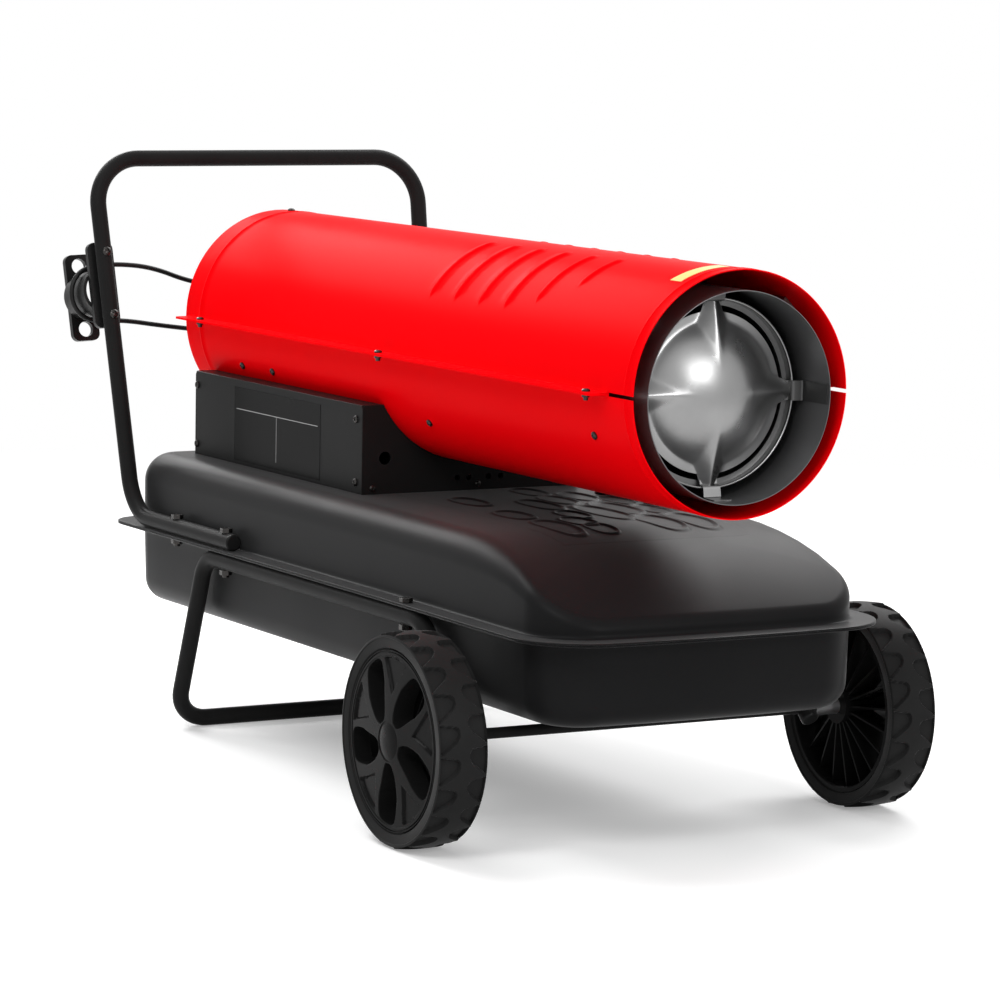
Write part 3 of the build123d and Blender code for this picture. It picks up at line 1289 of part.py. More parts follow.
# ---------------------------------------------------------------- small screws, one group
with BuildPart() as small_screws:
    # the seam's six screws and their nuts
    for back in seam_screw_backs:
        for z_start, z_end, radius in ((shell_z - shell_wall - 7, shell_z + shell_wall, seam_screw_radius),
                                       (shell_z + shell_wall, shell_z + shell_wall + small_head,
                                        small_head_radius),
                                       (shell_z - shell_wall - 4, shell_z - shell_wall,
                                        small_head_radius)):
            for screw in both_sides(upright(axle_x - back, seam_screw_y, z_start, z_end, radius)):
                add(screw)
    # screws through the shell and the fan guard
    ring = [(back, place) for back, angle in shell_screw_spots for place in (-angle, 180 + angle)]
    for back, place in ring + [(guard_screw_back, angle) for angle in guard_screw_angles]:
        add(radial_bar(axle_x - back, place, shell_bore - 5, shell_radius, seam_screw_radius))
        add(radial_bar(axle_x - back, place, shell_radius, shell_radius + small_head,
                       small_head_radius))
    # screws of the console's covers and end plates
    for height in cover_screw_heights:
        for x in (console_front_x - cover_screw_inset, console_rear_x + cover_screw_rear_inset):
            for y_start, y_end, radius in ((console_half, console_half + small_head, small_head_radius),
                                           (console_half - 8, console_half, cover_screw_radius)):
                for screw in both_sides(across(x, height, y_start, y_end, radius)):
                    add(screw)
    for x_face, outward in ((console_front_x, 1), (console_rear_x, -1)):
        for y in bracket_places:
            head = sorted((x_face, x_face + outward * 2))
            shank = sorted((x_face, x_face - outward * (sheet + 4)))
            for span, radius in ((head, 3.5), (shank, bracket_screw_radius)):
                add(pipe_x(span[0], span[1], radius, 0, bracket_screw_z).moved(Location((0, y, 0))))
    # screws of the cord holders, through the handle's legs
    with BuildSketch(holder_plane.offset(-tube_radius)):
        with GridLocations(0, holder_screw_pitch, 1, 2):
            Circle(small_head_radius)
    extrude(amount=-small_head)
    with BuildSketch(holder_plane.offset(-tube_radius)):
        with GridLocations(0, holder_screw_pitch, 1, 2):
            Circle(holder_screw_radius)
    extrude(amount=2 * tube_radius + holder_base)
    add(mirror(small_screws.part.solids().filter_by(lambda piece: piece.center().X < stand_x).filter_by(
        lambda piece: piece.center().Y > dome_half_width), about=Plane.XZ))
save(small_screws, "small_screws")

print("length back to front", round(rear_reach + outlet_ahead, 1), "axle at x", round(axle_x, 2))
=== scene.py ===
import math

import bmesh
import bpy
import numpy as np
from mathutils import Matrix, Vector


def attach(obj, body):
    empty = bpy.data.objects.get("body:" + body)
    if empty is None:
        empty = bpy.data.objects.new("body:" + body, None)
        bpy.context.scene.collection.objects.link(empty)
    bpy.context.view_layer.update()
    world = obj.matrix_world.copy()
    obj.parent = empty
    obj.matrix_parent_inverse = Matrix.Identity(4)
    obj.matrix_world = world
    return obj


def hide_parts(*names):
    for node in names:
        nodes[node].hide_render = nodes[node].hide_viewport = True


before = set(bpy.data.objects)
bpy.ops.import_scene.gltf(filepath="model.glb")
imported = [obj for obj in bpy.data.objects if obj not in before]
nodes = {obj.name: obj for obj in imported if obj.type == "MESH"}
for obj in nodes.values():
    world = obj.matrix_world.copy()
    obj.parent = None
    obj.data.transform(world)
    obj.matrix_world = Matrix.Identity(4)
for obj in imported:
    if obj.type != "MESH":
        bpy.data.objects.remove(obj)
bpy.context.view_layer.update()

axleX, axleZ = 0.420539, 0.114     # wheel axle
shellZ, linerZ = 0.484, 0.4805     # middle of the red shell, middle of the heat shield
seamZ = 0.232                      # where the two tank halves meet
wheelY = 0.2785                    # middle plane of each wheel
axisRadius = 1e-6                  # closes a turned profile on its own axis
print("frame loaded,", len(nodes), "nodes")


def placeObject(name, data):
    # a new object at the origin, linked to the scene
    thing = bpy.data.objects.new(name, data)
    bpy.context.scene.collection.objects.link(thing)
    return thing


# camera, at the photograph's place and angle
cameraSettings = dict(
    place=(4.259415, -2.334411, 0.906415), azimuth=60.7019, elevation=7.0525, roll=1.07, lens=152.26,
    sensor=36.0, clip=(0.1, 60))


def makeCamera(s):
    # axes from azimuth and elevation, then turned about the line of sight by the roll
    turn, lift, roll = (math.radians(s[k]) for k in ("azimuth", "elevation", "roll"))
    back = Vector((math.sin(turn) * math.cos(lift), -math.cos(turn) * math.cos(lift), math.sin(lift)))
    right = Vector((-back.y, back.x, 0)).normalized()
    up = back.cross(right)
    tiltedRight = right * math.cos(roll) + up * math.sin(roll)
    tiltedUp = up * math.cos(roll) - right * math.sin(roll)
    data = bpy.data.cameras.new("camera")
    data.lens, data.sensor_width = s["lens"], s["sensor"]
    data.clip_start, data.clip_end = s["clip"]
    camera = placeObject("camera", data)
    camera.matrix_world = Matrix((
        (tiltedRight.x, tiltedUp.x, back.x, s["place"][0]),
        (tiltedRight.y, tiltedUp.y, back.y, s["place"][1]),
        (tiltedRight.z, tiltedUp.z, back.z, s["place"][2]),
        (0, 0, 0, 1)))
    bpy.context.scene.camera = camera


makeCamera(cameraSettings)
print("camera placed")

# materials: one node tree each, on object coordinates; these values hold where a material names no other
usualLook = dict(
    second=None, noise=18.0, detail=4.0, low=0.3, high=0.7, stretch=(1, 1, 1), rough=0.5, vary=0.04,
    bump=0.0, grain=900.0, grainDetail=2.0, depth=0.0002, metal=0.0, ior=1.5, clear=0.0, sheen=0.0,
    sheenRough=0.4)


def addNode(tree, kind, inputs=None, **fields):
    # a shader node of one kind: its fields are set first, then its input values
    node = tree.nodes.new("ShaderNode" + kind)
    for name, value in fields.items():
        setattr(node, name, value)
    for name, value in (inputs or {}).items():
        node.inputs[name].default_value = value
    return node


def linkNodes(tree, *links):
    # each link is (node, output, next node, input)
    for source, output, target, entry in links:
        tree.links.new(source.outputs[output], target.inputs[entry])


def rgba(tone):
    # a single number is a grey
    return (*(tone if isinstance(tone, tuple) else (tone,) * 3), 1)


def makeMaterial(name, look):
    # colour mixed by broad noise, roughness by the same noise, bump from fine noise
    s = {**usualLook, **look}
    material = bpy.data.materials.new(name)
    material.use_nodes = True
    tree = material.node_tree
    shader = tree.nodes["Principled BSDF"]
    place = addNode(tree, "TexCoord")
    mapping = addNode(tree, "Mapping", {"Scale": s["stretch"]})
    broad = addNode(tree, "TexNoise", {"Scale": s["noise"], "Detail": s["detail"]})
    mix = addNode(tree, "Mix", {"A": rgba(s["color"]), "B": rgba(s["second"] or s["color"])},
                  data_type="RGBA")
    spread = addNode(tree, "MapRange", {"From Min": s["low"], "From Max": s["high"],
                                        "To Min": s["rough"] - s["vary"], "To Max": s["rough"] + s["vary"]})
    linkNodes(tree, (place, "Object", mapping, "Vector"), (mapping, "Vector", broad, "Vector"),
              (broad, "Fac", mix, "Factor"), (mix, "Result", shader, "Base Color"),
              (broad, "Fac", spread, "Value"), (spread, "Result", shader, "Roughness"))
    if s["bump"]:
        fine = addNode(tree, "TexNoise", {"Scale": s["grain"], "Detail": s["grainDetail"]})
        bump = addNode(tree, "Bump", {"Strength": s["bump"], "Distance": s["depth"]})
        linkNodes(tree, (mapping, "Vector", fine, "Vector"), (fine, "Fac", bump, "Height"),
                  (bump, "Normal", shader, "Normal"))
    for socket, key in (("Metallic", "metal"), ("IOR", "ior"), ("Transmission Weight", "clear"),
                        ("Sheen Weight", "sheen"), ("Sheen Roughness", "sheenRough")):
        shader.inputs[socket].default_value = s[key]
    return material


materialSettings = {
    "redPaint": dict(
        color=(0.9, 0.0008, 0.0035), second=(0.87, 0.0008, 0.003), noise=6, rough=0.33, vary=0.02,
        bump=0.05, grain=500, ior=1.035),
    "tankPaint": dict(
        color=(0.008, 0.008, 0.0084), second=(0.011, 0.011, 0.0114), noise=9, rough=0.38, vary=0.03,
        bump=0.3, grain=1100, ior=1.12, sheen=0.16, sheenRough=0.32),
    "consolePaint": dict(color=0.012, second=0.016, rough=0.38, bump=0.3, grain=1300, ior=1.12),
    "tubePaint": dict(
        color=0.012, second=0.016, noise=25, rough=0.42, bump=0.15, grain=1200, ior=1.1, sheen=0.08,
        sheenRough=0.32),
    "tyreRubber": dict(
        color=0.014, second=0.02, noise=30, rough=0.42, vary=0.06, bump=0.4, grain=800, ior=1.1, sheen=0.1,
        sheenRough=0.32),
    "rimPlastic": dict(color=0.007, second=0.009, rough=0.24, bump=0.1, grain=1500, ior=1.1),
    "blackPlastic": dict(color=0.009, second=0.013, rough=0.32, bump=0.2, grain=1400, ior=1.2),
    "cordRubber": dict(color=0.008, second=0.012, rough=0.4, bump=0.2, grain=1500, ior=1.25),
    "labelFilm": dict(color=0.004, second=0.006, rough=0.25, vary=0.03, ior=1.12),
    "labelLine": dict(color=0.45, second=0.4, rough=0.4),
    "yellowFilm": dict(color=(0.82, 0.6, 0.12), second=(0.78, 0.56, 0.1), rough=0.3),
    "blackScrew": dict(
        color=(0.03, 0.028, 0.027), second=(0.05, 0.047, 0.045), noise=200, rough=0.28, vary=0.08,
        metal=0.8),
    "linerSteel": dict(
        color=(0.16, 0.16, 0.163), second=(0.11, 0.11, 0.112), noise=14, rough=0.42, vary=0.08, metal=0.85,
        bump=0.12, grain=260, stretch=(0.2, 1, 1)),
    "chamberSteel": dict(
        color=0.2, second=0.1, noise=12, rough=0.4, vary=0.08, metal=0.9, bump=0.12, grain=300),
    "pressedSteel": dict(
        color=0.33, second=0.25, noise=22, rough=0.3, vary=0.04, metal=1.0, bump=0.12, grain=420),
    # darker copy of the pressed steel for the arm straps: painted shade
    "shadedStrapSteel": dict(color=0.1, second=0.07, noise=30, rough=0.4, metal=1.0, bump=0.12, grain=420),
    "zincSteel": dict(color=0.5, second=(0.42, 0.42, 0.43), noise=60, rough=0.38, metal=1.0, bump=0.1),
    "brass": dict(color=(0.72, 0.5, 0.2), second=(0.62, 0.42, 0.16), noise=80, rough=0.3, metal=1.0),
    "aluminium": dict(
        color=(0.7, 0.7, 0.71), second=(0.6, 0.6, 0.61), noise=50, rough=0.4, metal=1.0, bump=0.1),
    "ceramic": dict(color=(0.75, 0.73, 0.68), second=(0.68, 0.66, 0.6), noise=60, rough=0.35),
    "motorGrey": dict(color=(0.16, 0.165, 0.17), second=(0.2, 0.2, 0.21), noise=30, rough=0.45, bump=0.2),
    "graphite": dict(color=(0.04, 0.04, 0.042), second=0.06, noise=80, rough=0.55, bump=0.2),
    "gaugeRed": dict(color=(0.62, 0.02, 0.015), second=(0.55, 0.015, 0.012), rough=0.3),
    "clearLens": dict(color=(0.95, 0.97, 1.0), rough=0.05, vary=0.01, clear=1.0),
    "palePlastic": dict(color=(0.62, 0.62, 0.58), second=(0.55, 0.55, 0.52), noise=40, rough=0.45, bump=0.2),
    "boardGreen": dict(color=(0.02, 0.14, 0.05), second=(0.015, 0.1, 0.04), noise=120, rough=0.35, vary=0.1),
}
materials = {name: makeMaterial(name, s) for name, s in materialSettings.items()}

nodeMaterials = {
    "redPaint": ("upper_shell", "lower_shell"),
    "tankPaint": ("tank_upper", "tank_lower"),
    "consolePaint": ("front_plate", "rear_plate", "near_cover", "far_cover", "fan_guard"),
    "tubePaint": ("handle", "leg_frame", "axle"),
    "tyreRubber": ("near_tyre", "far_tyre"),
    "rimPlastic": ("near_rim", "far_rim", "near_hub_cap", "far_hub_cap"),
    "blackPlastic": ("tube_end_caps", "fuel_cap", "near_cord_holder", "far_cord_holder", "cord_gland",
                     "switch_housing", "thermostat_knob", "fuel_gauge", "plug", "flame_sensor",
                     "ignition_transformer", "pump_filter", "drain_plug"),
    "cordRubber": ("power_cord",),
    "labelFilm": ("label_panel",),
    "blackScrew": ("small_screws", "frame_bolts"),
    "linerSteel": ("heat_shield",),
    "chamberSteel": ("combustion_chamber", "burner_head"),
    "pressedSteel": ("deflector", "burner_brackets"),
    "zincSteel": ("axle_spacers", "motor_shaft", "motor_mount", "fuel_strainer", "filler_neck",
                  "fuel_pickup"),
    "brass": ("fuel_nozzle", "plug_pins"),
    "aluminium": ("fan", "pump_housing"),
    "ceramic": ("spark_electrodes",),
    "motorGrey": ("motor",),
    "graphite": ("pump_rotor",),
    "gaugeRed": ("gauge_needle", "rocker"),
    "clearLens": ("gauge_lens",),
    "palePlastic": ("float_arm", "thermostat"),
    "boardGreen": ("control_board",),
}
for materialName, members in nodeMaterials.items():
    for member in members:
        slots = nodes[member].material_slots
        if not slots:
            nodes[member].data.materials.append(materials[materialName])
        for holder in slots:
            holder.material = materials[materialName]
fuelHose = makeMaterial("fuelHose", dict(color=0.03, rough=0.5))
nodes["fuel_line"].data.materials.clear()
nodes["fuel_line"].data.materials.append(fuelHose)
print("materials made:", len(materials) + 1)

# surfaces: grids of points turned into meshes


def gridQuads(rows, columns, closeRows=False, closeColumns=False):
    # each quad joins a row and the next one; a closed direction joins its last line to its first
    i, j = np.meshgrid(np.arange(rows if closeRows else rows - 1),
                       np.arange(columns if closeColumns else columns - 1), indexing="ij")
    nextI, nextJ = (i + 1) % rows, (j + 1) % columns
    return np.stack([i * columns + j, nextI * columns + j, nextI * columns + nextJ, i * columns + nextJ],
                    -1).reshape(-1, 4)


def smoothMesh(mesh, material, sharp):
    # smooth shading up to the sharp angle in degrees, and one material
    mesh.polygons.foreach_set("use_smooth", np.ones(len(mesh.polygons), bool))
    mesh.set_sharp_from_angle(angle=math.radians(sharp))
    mesh.materials.clear()
    mesh.materials.append(materials[material])


def dress(piece, body, stands):
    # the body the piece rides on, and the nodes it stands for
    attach(piece, body)
    if stands:
        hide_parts(*stands)
    return piece


def addPiece(name, surfaces, material, body, stands=(), sharp=35.0, weld=2e-6):
    # surfaces are (points, closeRows, closeColumns); points are rows x columns x 3, in metres; they become
    # one mesh, welded where points coincide
    points, quads, count = [], [], 0
    for grid, closeRows, closeColumns in surfaces:
        rows, columns = grid.shape[:2]
        points.append(grid.reshape(-1, 3))
        quads.append(gridQuads(rows, columns, closeRows, closeColumns) + count)
        count += rows * columns
    mesh = bpy.data.meshes.new(name)
    mesh.from_pydata(np.concatenate(points).tolist(), [], np.concatenate(quads).tolist())
    work = bmesh.new()
    work.from_mesh(mesh)
    bmesh.ops.remove_doubles(work, verts=work.verts, dist=weld)
    bmesh.ops.recalc_face_normals(work, faces=work.faces)
    work.to_mesh(mesh)
    work.free()
    smoothMesh(mesh, material, sharp)
    return dress(placeObject(name, mesh), body, stands)


def spin(profile, centre, axis, count):
    # profile (along, radius) turned round an axis through centre; axis is 0, 1 or 2
    profile = np.asarray(profile, float)
    turn = np.linspace(0, 2 * np.pi, count, endpoint=False)[None, :]
    along, radius = profile[:, :1], profile[:, 1:]
    out = np.zeros((len(profile), count, 3))
    out[..., axis] = along
    out[..., (axis + 1) % 3] = radius * np.cos(turn)
    out[..., (axis + 2) % 3] = radius * np.sin(turn)
    return out + np.asarray(centre, float)


def rounded(points, radii, steps=4):
    # polyline whose inner corners become arcs: each corner is cut by a quadratic curve
    points = np.asarray(points, float)
    out = [points[:1]]
    for before, here, after, radius in zip(points, points[1:], points[2:], radii):
        toBefore, toAfter = before - here, after - here
        start = here + toBefore / np.linalg.norm(toBefore) * min(radius, np.linalg.norm(toBefore) / 2)
        end = here + toAfter / np.linalg.norm(toAfter) * min(radius, np.linalg.norm(toAfter) / 2)
        t = np.linspace(0, 1, steps + 1)[:, None]
        out.append((1 - t) ** 2 * start + 2 * t * (1 - t) * here + t ** 2 * end)
    out.append(points[-1:])
    return np.concatenate(out)


def softStep(value, low, high):
    # 0 below low, 1 above high, and a smooth curve between
    t = np.clip((value - low) / (high - low), 0, 1)
    return t * t * (3 - 2 * t)


def softMax(one, two, blend):
    # the larger of two heights, rounded where they cross
    return 0.5 * (one + two + np.sqrt((one - two) ** 2 + blend ** 2))


# power cord: one spline along the route of the part's source, which is in millimetres
cordSettings = dict(
    radius=0.003, length=1.588,
    route=((-428, 95, 372), (-464, 95, 372), (-500, 101, 399), (-518, 128, 442), (-526.5, 177, 472),
           (-530.5, 228, 476.5), (-535.5, 248.5, 494.5), (-542.5, 249.5, 522), (-548, 230.5, 542),
           (-550, 181, 543), (-553, 122, 539), (-555.5, 56, 519), (-556.5, -16, 508.5), (-556.5, -84, 519),
           (-556, -135, 538), (-555.5, -182, 543.5), (-551, -230.5, 541.5), (-549, -249.5, 520.5),
           (-545.5, -248.5, 492.5), (-544, -228, 473.5), (-551, -180, 474), (-552, -122, 465),
           (-553.5, -52, 456.5), (-554, 22, 453.5), (-554, 92, 459), (-553.5, 140, 469), (-553, 182, 473.5),
           (-551, 228, 472), (-557.5, 248.5, 489.5), (-565.5, 249.5, 517), (-572.5, 230.5, 537),
           (-573.5, 183, 537.5), (-579, 145, 513), (-583, 127, 470), (-583, 127, 425)))


def makeCord(s):
    # a curve through the route's points, thickened to the cord's radius; its middle line is read off first
    curve = bpy.data.curves.new("powerCord", "CURVE")
    curve.dimensions = "3D"
    spline = curve.splines.new("NURBS")
    points = np.array(s["route"], float) / 1000
    spline.points.add(len(points) - 1)
    spline.points.foreach_set("co", np.column_stack([points, np.ones(len(points))]).ravel())
    spline.order_u = 3
    spline.use_endpoint_u = True
    curve.resolution_u = 12
    plain = placeObject("cordLine", curve)
    bpy.context.view_layer.update()
    line = bpy.data.meshes.new_from_object(plain)
    path = np.zeros(len(line.vertices) * 3, np.float32)
    line.vertices.foreach_get("co", path)
    bpy.data.objects.remove(plain)
    bpy.data.meshes.remove(line)
    curve.bevel_depth = s["radius"]
    curve.bevel_resolution = 5
    curve.use_fill_caps = True
    curve.materials.append(materials["cordRubber"])
    cord = placeObject("powerCord", curve)
    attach(cord, "frame")
    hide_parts("power_cord")
    return cord, path.reshape(-1, 3).astype(float)


def tubeAlong(path, radii, count=24):
    # rings of the given radii, square to the path at each of its points
    ahead = np.gradient(path, axis=0)
    ahead /= np.linalg.norm(ahead, axis=1)[:, None]
    side = np.cross(ahead, np.array([0.0, 0.0, 1.0]) + 1e-6)
    side /= np.linalg.norm(side, axis=1)[:, None]
    up = np.cross(side, ahead)
    turn = np.linspace(0, 2 * np.pi, count, endpoint=False)
    ring = side[:, None] * np.cos(turn)[None, :, None] + up[:, None] * np.sin(turn)[None, :, None]
    return path[:, None] + ring * np.asarray(radii)[:, None, None]


powerCord, cordPath = makeCord(cordSettings)

# strain relief at the gland: a taper with five soft ribs, along the cord's own line
reliefSettings = dict(
    length=0.032, rootRadius=0.0062, tipRadius=0.0038, ribs=5, ribDepth=0.0008, inside=0.002,
    endRadius=0.0029, steps=61, flatten=0.5)


def reliefSurface(path, s):
    # the radius falls evenly from root to tip, less a row of cosine grooves that get shallower
    travelled = np.concatenate([[0], np.cumsum(np.linalg.norm(np.diff(path, axis=0), axis=1))])
    t = np.linspace(0, 1, s["steps"])
    middle = np.stack([np.interp(t * s["length"] - s["inside"], travelled, path[:, k]) for k in range(3)], -1)
    middle[:, 0] += np.where(t * s["length"] < s["inside"], s["inside"] - t * s["length"], 0)
    radii = s["rootRadius"] + (s["tipRadius"] - s["rootRadius"]) * t
    radii = radii - s["ribDepth"] * (0.5 - 0.5 * np.cos(2 * np.pi * s["ribs"] * t)) * (1 - t * s["flatten"])
    middle = np.concatenate([middle[:1], middle, middle[-1:]])
    return tubeAlong(middle + np.linspace(0, -1e-7, len(middle))[:, None],
                     np.concatenate([[axisRadius], radii, [s["endRadius"]]]))


cordRelief = addPiece("cordRelief", [(reliefSurface(cordPath, reliefSettings), False, True)], "cordRubber",
                      "frame")

# plug: tapered relief, shoulder, ribbed grip and a flat face, turned round the cord's end
plugSettings = dict(
    x=-0.583, y=0.127, top=0.425, relief=0.026, reliefTop=0.0042, reliefGrow=0.0036, reliefGroove=0.0006,
    reliefWaves=10, body=0.034, radius=0.017, shoulder=0.006, waist=0.0012, grip=0.0005, gripWaves=14,
    # (down from the relief, radius), then (up from the face, inward from the body's radius)
    collar=((0.0005, 0.011), (0.0025, 0.0152)), face=((0.002, 0.0004), (0, 0.002)))


def plugSurface(s):
    # turned profile, top to face: the relief widens with cosine grooves, the grip is drawn in by half a sine
    low = s["top"] - s["relief"]
    base = low - s["body"]
    t = np.linspace(0, 1, 31)
    relief = np.column_stack([s["top"] - s["relief"] * t, s["reliefTop"] + s["reliefGrow"] * t
                              - s["reliefGroove"] * (0.5 - 0.5 * np.cos(s["reliefWaves"] * np.pi * t))])
    t = np.linspace(0, 1, 41)
    side = np.column_stack([low - s["shoulder"] - (s["body"] - 2 * s["shoulder"]) * t,
                            s["radius"] - s["waist"] * np.sin(np.pi * t)
                            - s["grip"] * (0.5 - 0.5 * np.cos(s["gripWaves"] * np.pi * t))])
    profile = np.concatenate([[[s["top"], axisRadius]], relief,
                              [[low - down, radius] for down, radius in s["collar"]], side,
                              [[base + up, s["radius"] - inward] for up, inward in s["face"]],
                              [[base, axisRadius]]])
    return spin(profile, (s["x"], s["y"], 0), 2, 48)


plugBody = addPiece("plugBody", [(plugSurface(plugSettings), False, True)], "blackPlastic", "frame",
                    ("plug",))
print("cord laid")

# tyres: smooth middle band, recessed tongues from both shoulders
tyreSettings = dict(
    radius=0.114, width=0.056, seat=0.0962, around=567, tongues=21, depth=0.0050, reach=0.0225,
    tipRadius=0.0055, upper=0.0078, upperRoot=0.0112, lowerTip=-0.0040, lowerRoot=-0.0215, wall=0.0011,
    margin=0.0012, phase=0.96, farPhase=0.656, middle=0.65, treadStart=0.0022, treadSteps=71, crown=0.0016,
    treadFloor=0.0028, edge=0.0005)


def tongueDepth(around, inward, s):
    # around: arc length from the tongue's middle; inward: distance from the shoulder
    # inside the tongue where it is short of the rounded tip and between its two edges
    slant = np.clip(inward / s["reach"], 0, 1)
    lower = s["lowerRoot"] + (s["lowerTip"] - s["lowerRoot"]) * slant
    upper = s["upperRoot"] + (s["upper"] - s["upperRoot"]) * slant
    offset = np.abs(around - (upper + lower) / 2) - (upper - lower) / 2
    tip = np.hypot(np.maximum(inward - (s["reach"] - s["tipRadius"]), 0),
                   np.maximum(offset + s["tipRadius"], 0)) - s["tipRadius"]
    distance = np.maximum(np.maximum(offset, tip), s["margin"] - inward)
    return s["depth"] * softStep(-distance, -s["wall"] / 2, s["wall"] / 2)


def tyreSurface(side, s):
    # closed section profile (across, radius) carried round the axle; the tread is cut in by depth
    half, top = s["width"] / 2, s["radius"]
    tread = np.linspace(-half + s["treadStart"], half - s["treadStart"], s["treadSteps"])
    crown = top - s["crown"] * (tread / half) ** 2
    near = np.array([(half - 0.0008, top - 0.0030), (half, top - 0.0048), (half, 0.1086),
                     (half - 0.0002, 0.1082), (half - 0.0010, 0.1078), (half - 0.0012, 0.1070),
                     (half - 0.0014, 0.0985), (half - 0.0018, 0.0978), (half - 0.0034, 0.0974),
                     (half - 0.0040, 0.0966), (half - 0.0040, s["seat"])])
    profile = np.concatenate([near[::-1] * (-1, 1), np.column_stack([tread, crown]), near])
    turn = np.linspace(0, 2 * np.pi, s["around"], endpoint=False)
    across = np.repeat(profile[:, :1], s["around"], 1)
    radius = np.repeat(profile[:, 1:], s["around"], 1)
    pitch = 2 * np.pi / s["tongues"]
    onTread = (radius > top - s["treadFloor"]) & (np.abs(across) < half - s["edge"])
    for shoulder, shift in ((side, s["phase"]), (-side, s["farPhase"])):
        inward = half - across * shoulder
        phase = (turn[None, :] / pitch + shift) % 1 - s["middle"]
        cut = tongueDepth(phase * pitch * top, inward, s)
        radius = radius - np.where(onTread & (inward < half), cut, 0)
    return np.stack([axleX + radius * np.cos(turn)[None, :], side * wheelY + across,
                     axleZ + radius * np.sin(turn)[None, :]], -1)


for label, side in (("near", -1), ("far", 1)):
    addPiece(label + "TyreRubber", [(tyreSurface(side, tyreSettings), True, True)], "tyreRubber",
             label + "_wheel", (label + "_tyre",), sharp=40)
print("tyres made")

# rims: five spokes that rise to the hub, round five leaf-shaped windows
rimSettings = dict(
    ringFace=0.3038, hubFace=0.3088, inner=0.0215, outer=0.0905, centre=0.0580, windowTilt=51.0,
    deep=0.0195, corner=0.0011, leafMiddle=0.0560, leafReach=0.0328, leafPower=5.0, leafInner=0.0040,
    leafOuter=0.0195, leafStart=0.022, leafRun=0.040, leanStart=0.03, leanRun=0.058, lean=3.5, probe=0.06,
    hollow=0.0026, hollowStart=0.050, hollowSpread=0.62, hollowEnd=0.0885, fade=0.0014, endFade=0.0015,
    seat=0.0959, barrelInner=0.2536, spokes=5, steps=36, fold=0.0006, ribs=20, ribTurn=5, ribHalf=0.0011,
    ribPlate=((0.0195, 0.2545), (0.0895, 0.2620)), leafSwell=0.6, probeSteps=900)
hubSettings = dict(
    apex=0.3110, fall=0.0030, power=2.2, radius=0.0205,
    foot=((0.3076, 0.0208), (0.2950, 0.0208), (0.2950, axisRadius)))


def windowOutline(angles, s):
    # ray from the window's middle in each direction to where the leaf's rounded form ends
    t = np.linspace(0, s["probe"], s["probeSteps"])[:, None]
    along, across = t * np.cos(angles)[None, :] + s["centre"], t * np.sin(angles)[None, :]
    reach, swing = np.hypot(along, across), np.arctan2(across, along)
    grow = np.clip((reach - s["leafStart"]) / s["leafRun"], 0, 1) ** s["leafSwell"]
    half = s["leafInner"] + (s["leafOuter"] - s["leafInner"]) * grow
    lean = np.radians(s["lean"]) * np.cos(np.pi * np.clip((reach - s["leanStart"]) / s["leanRun"], 0, 1))
    form = (np.abs((reach - s["leafMiddle"]) / s["leafReach"]) ** s["leafPower"]
            + np.abs(reach * (swing - lean) / half) ** s["leafPower"])
    return t[np.argmax(form > 1, axis=0), 0]


def rimFace(reach, swing, s):
    # a shallow cone, with a three-cornered hollow at the outer end of each spoke
    level = np.clip((reach - s["inner"]) / (s["outer"] - s["inner"]), 0, 1)
    face = s["hubFace"] + (s["ringFace"] - s["hubFace"]) * level
    fromSpoke = reach * (math.pi / s["spokes"] - np.abs(swing))
    hollow = softStep((reach - s["hollowStart"]) * s["hollowSpread"] - fromSpoke, 0, s["fade"])
    return face - s["hollow"] * hollow * softStep(s["hollowEnd"] - reach, 0, s["endFade"])


def rimSector(side, turn, s):
    # rings run from the spoke's middle line to the window's edge, down its wall and back behind
    low, high, half, count, corner = s["inner"], s["outer"], math.pi / s["spokes"], s["steps"], s["corner"]
    ends, run = np.linspace(-1, 1, count + 1)[:-1], np.linspace(0, 1, count + 1)[:-1]
    reach = np.concatenate([np.full(count, low), low + (high - low) * run, np.full(count, high),
                            high - (high - low) * run])
    swing = np.concatenate([ends * half, np.full(count, half), -ends * half, np.full(count, -half)])
    edge = np.column_stack([reach * np.cos(swing), reach * np.sin(swing)])
    toward = np.arctan2(edge[:, 1], edge[:, 0] - s["centre"])
    outward = np.column_stack([np.cos(toward), np.sin(toward)])
    window = np.array([s["centre"], 0.0]) + outward * windowOutline(toward, s)[:, None]
    steps = np.linspace(0, 1, 31)[:, None, None]
    front = edge[None] * (1 - steps) + (window + outward * corner)[None] * steps
    face = rimFace(np.hypot(front[..., 0], front[..., 1]), np.arctan2(front[..., 1], front[..., 0]), s)
    wall = np.stack([window + outward * corner * 0.3, window, window, window - outward * s["fold"]])
    floor = s["ringFace"] - s["deep"]
    wallFace = np.stack([face[-1] - corner * 0.3, face[-1] - corner, np.full_like(face[-1], floor + 0.001),
                         np.full_like(face[-1], floor)])
    plane = np.concatenate([front, wall, front[::-1]])
    height = np.concatenate([face, wallFace, np.full(front.shape[:2], floor)])
    cosine, sine = math.cos(math.radians(turn)), math.sin(math.radians(turn))
    x = plane[..., 0] * cosine - plane[..., 1] * sine
    z = plane[..., 0] * sine + plane[..., 1] * cosine
    return np.stack([axleX + x, side * height, axleZ + z], -1)


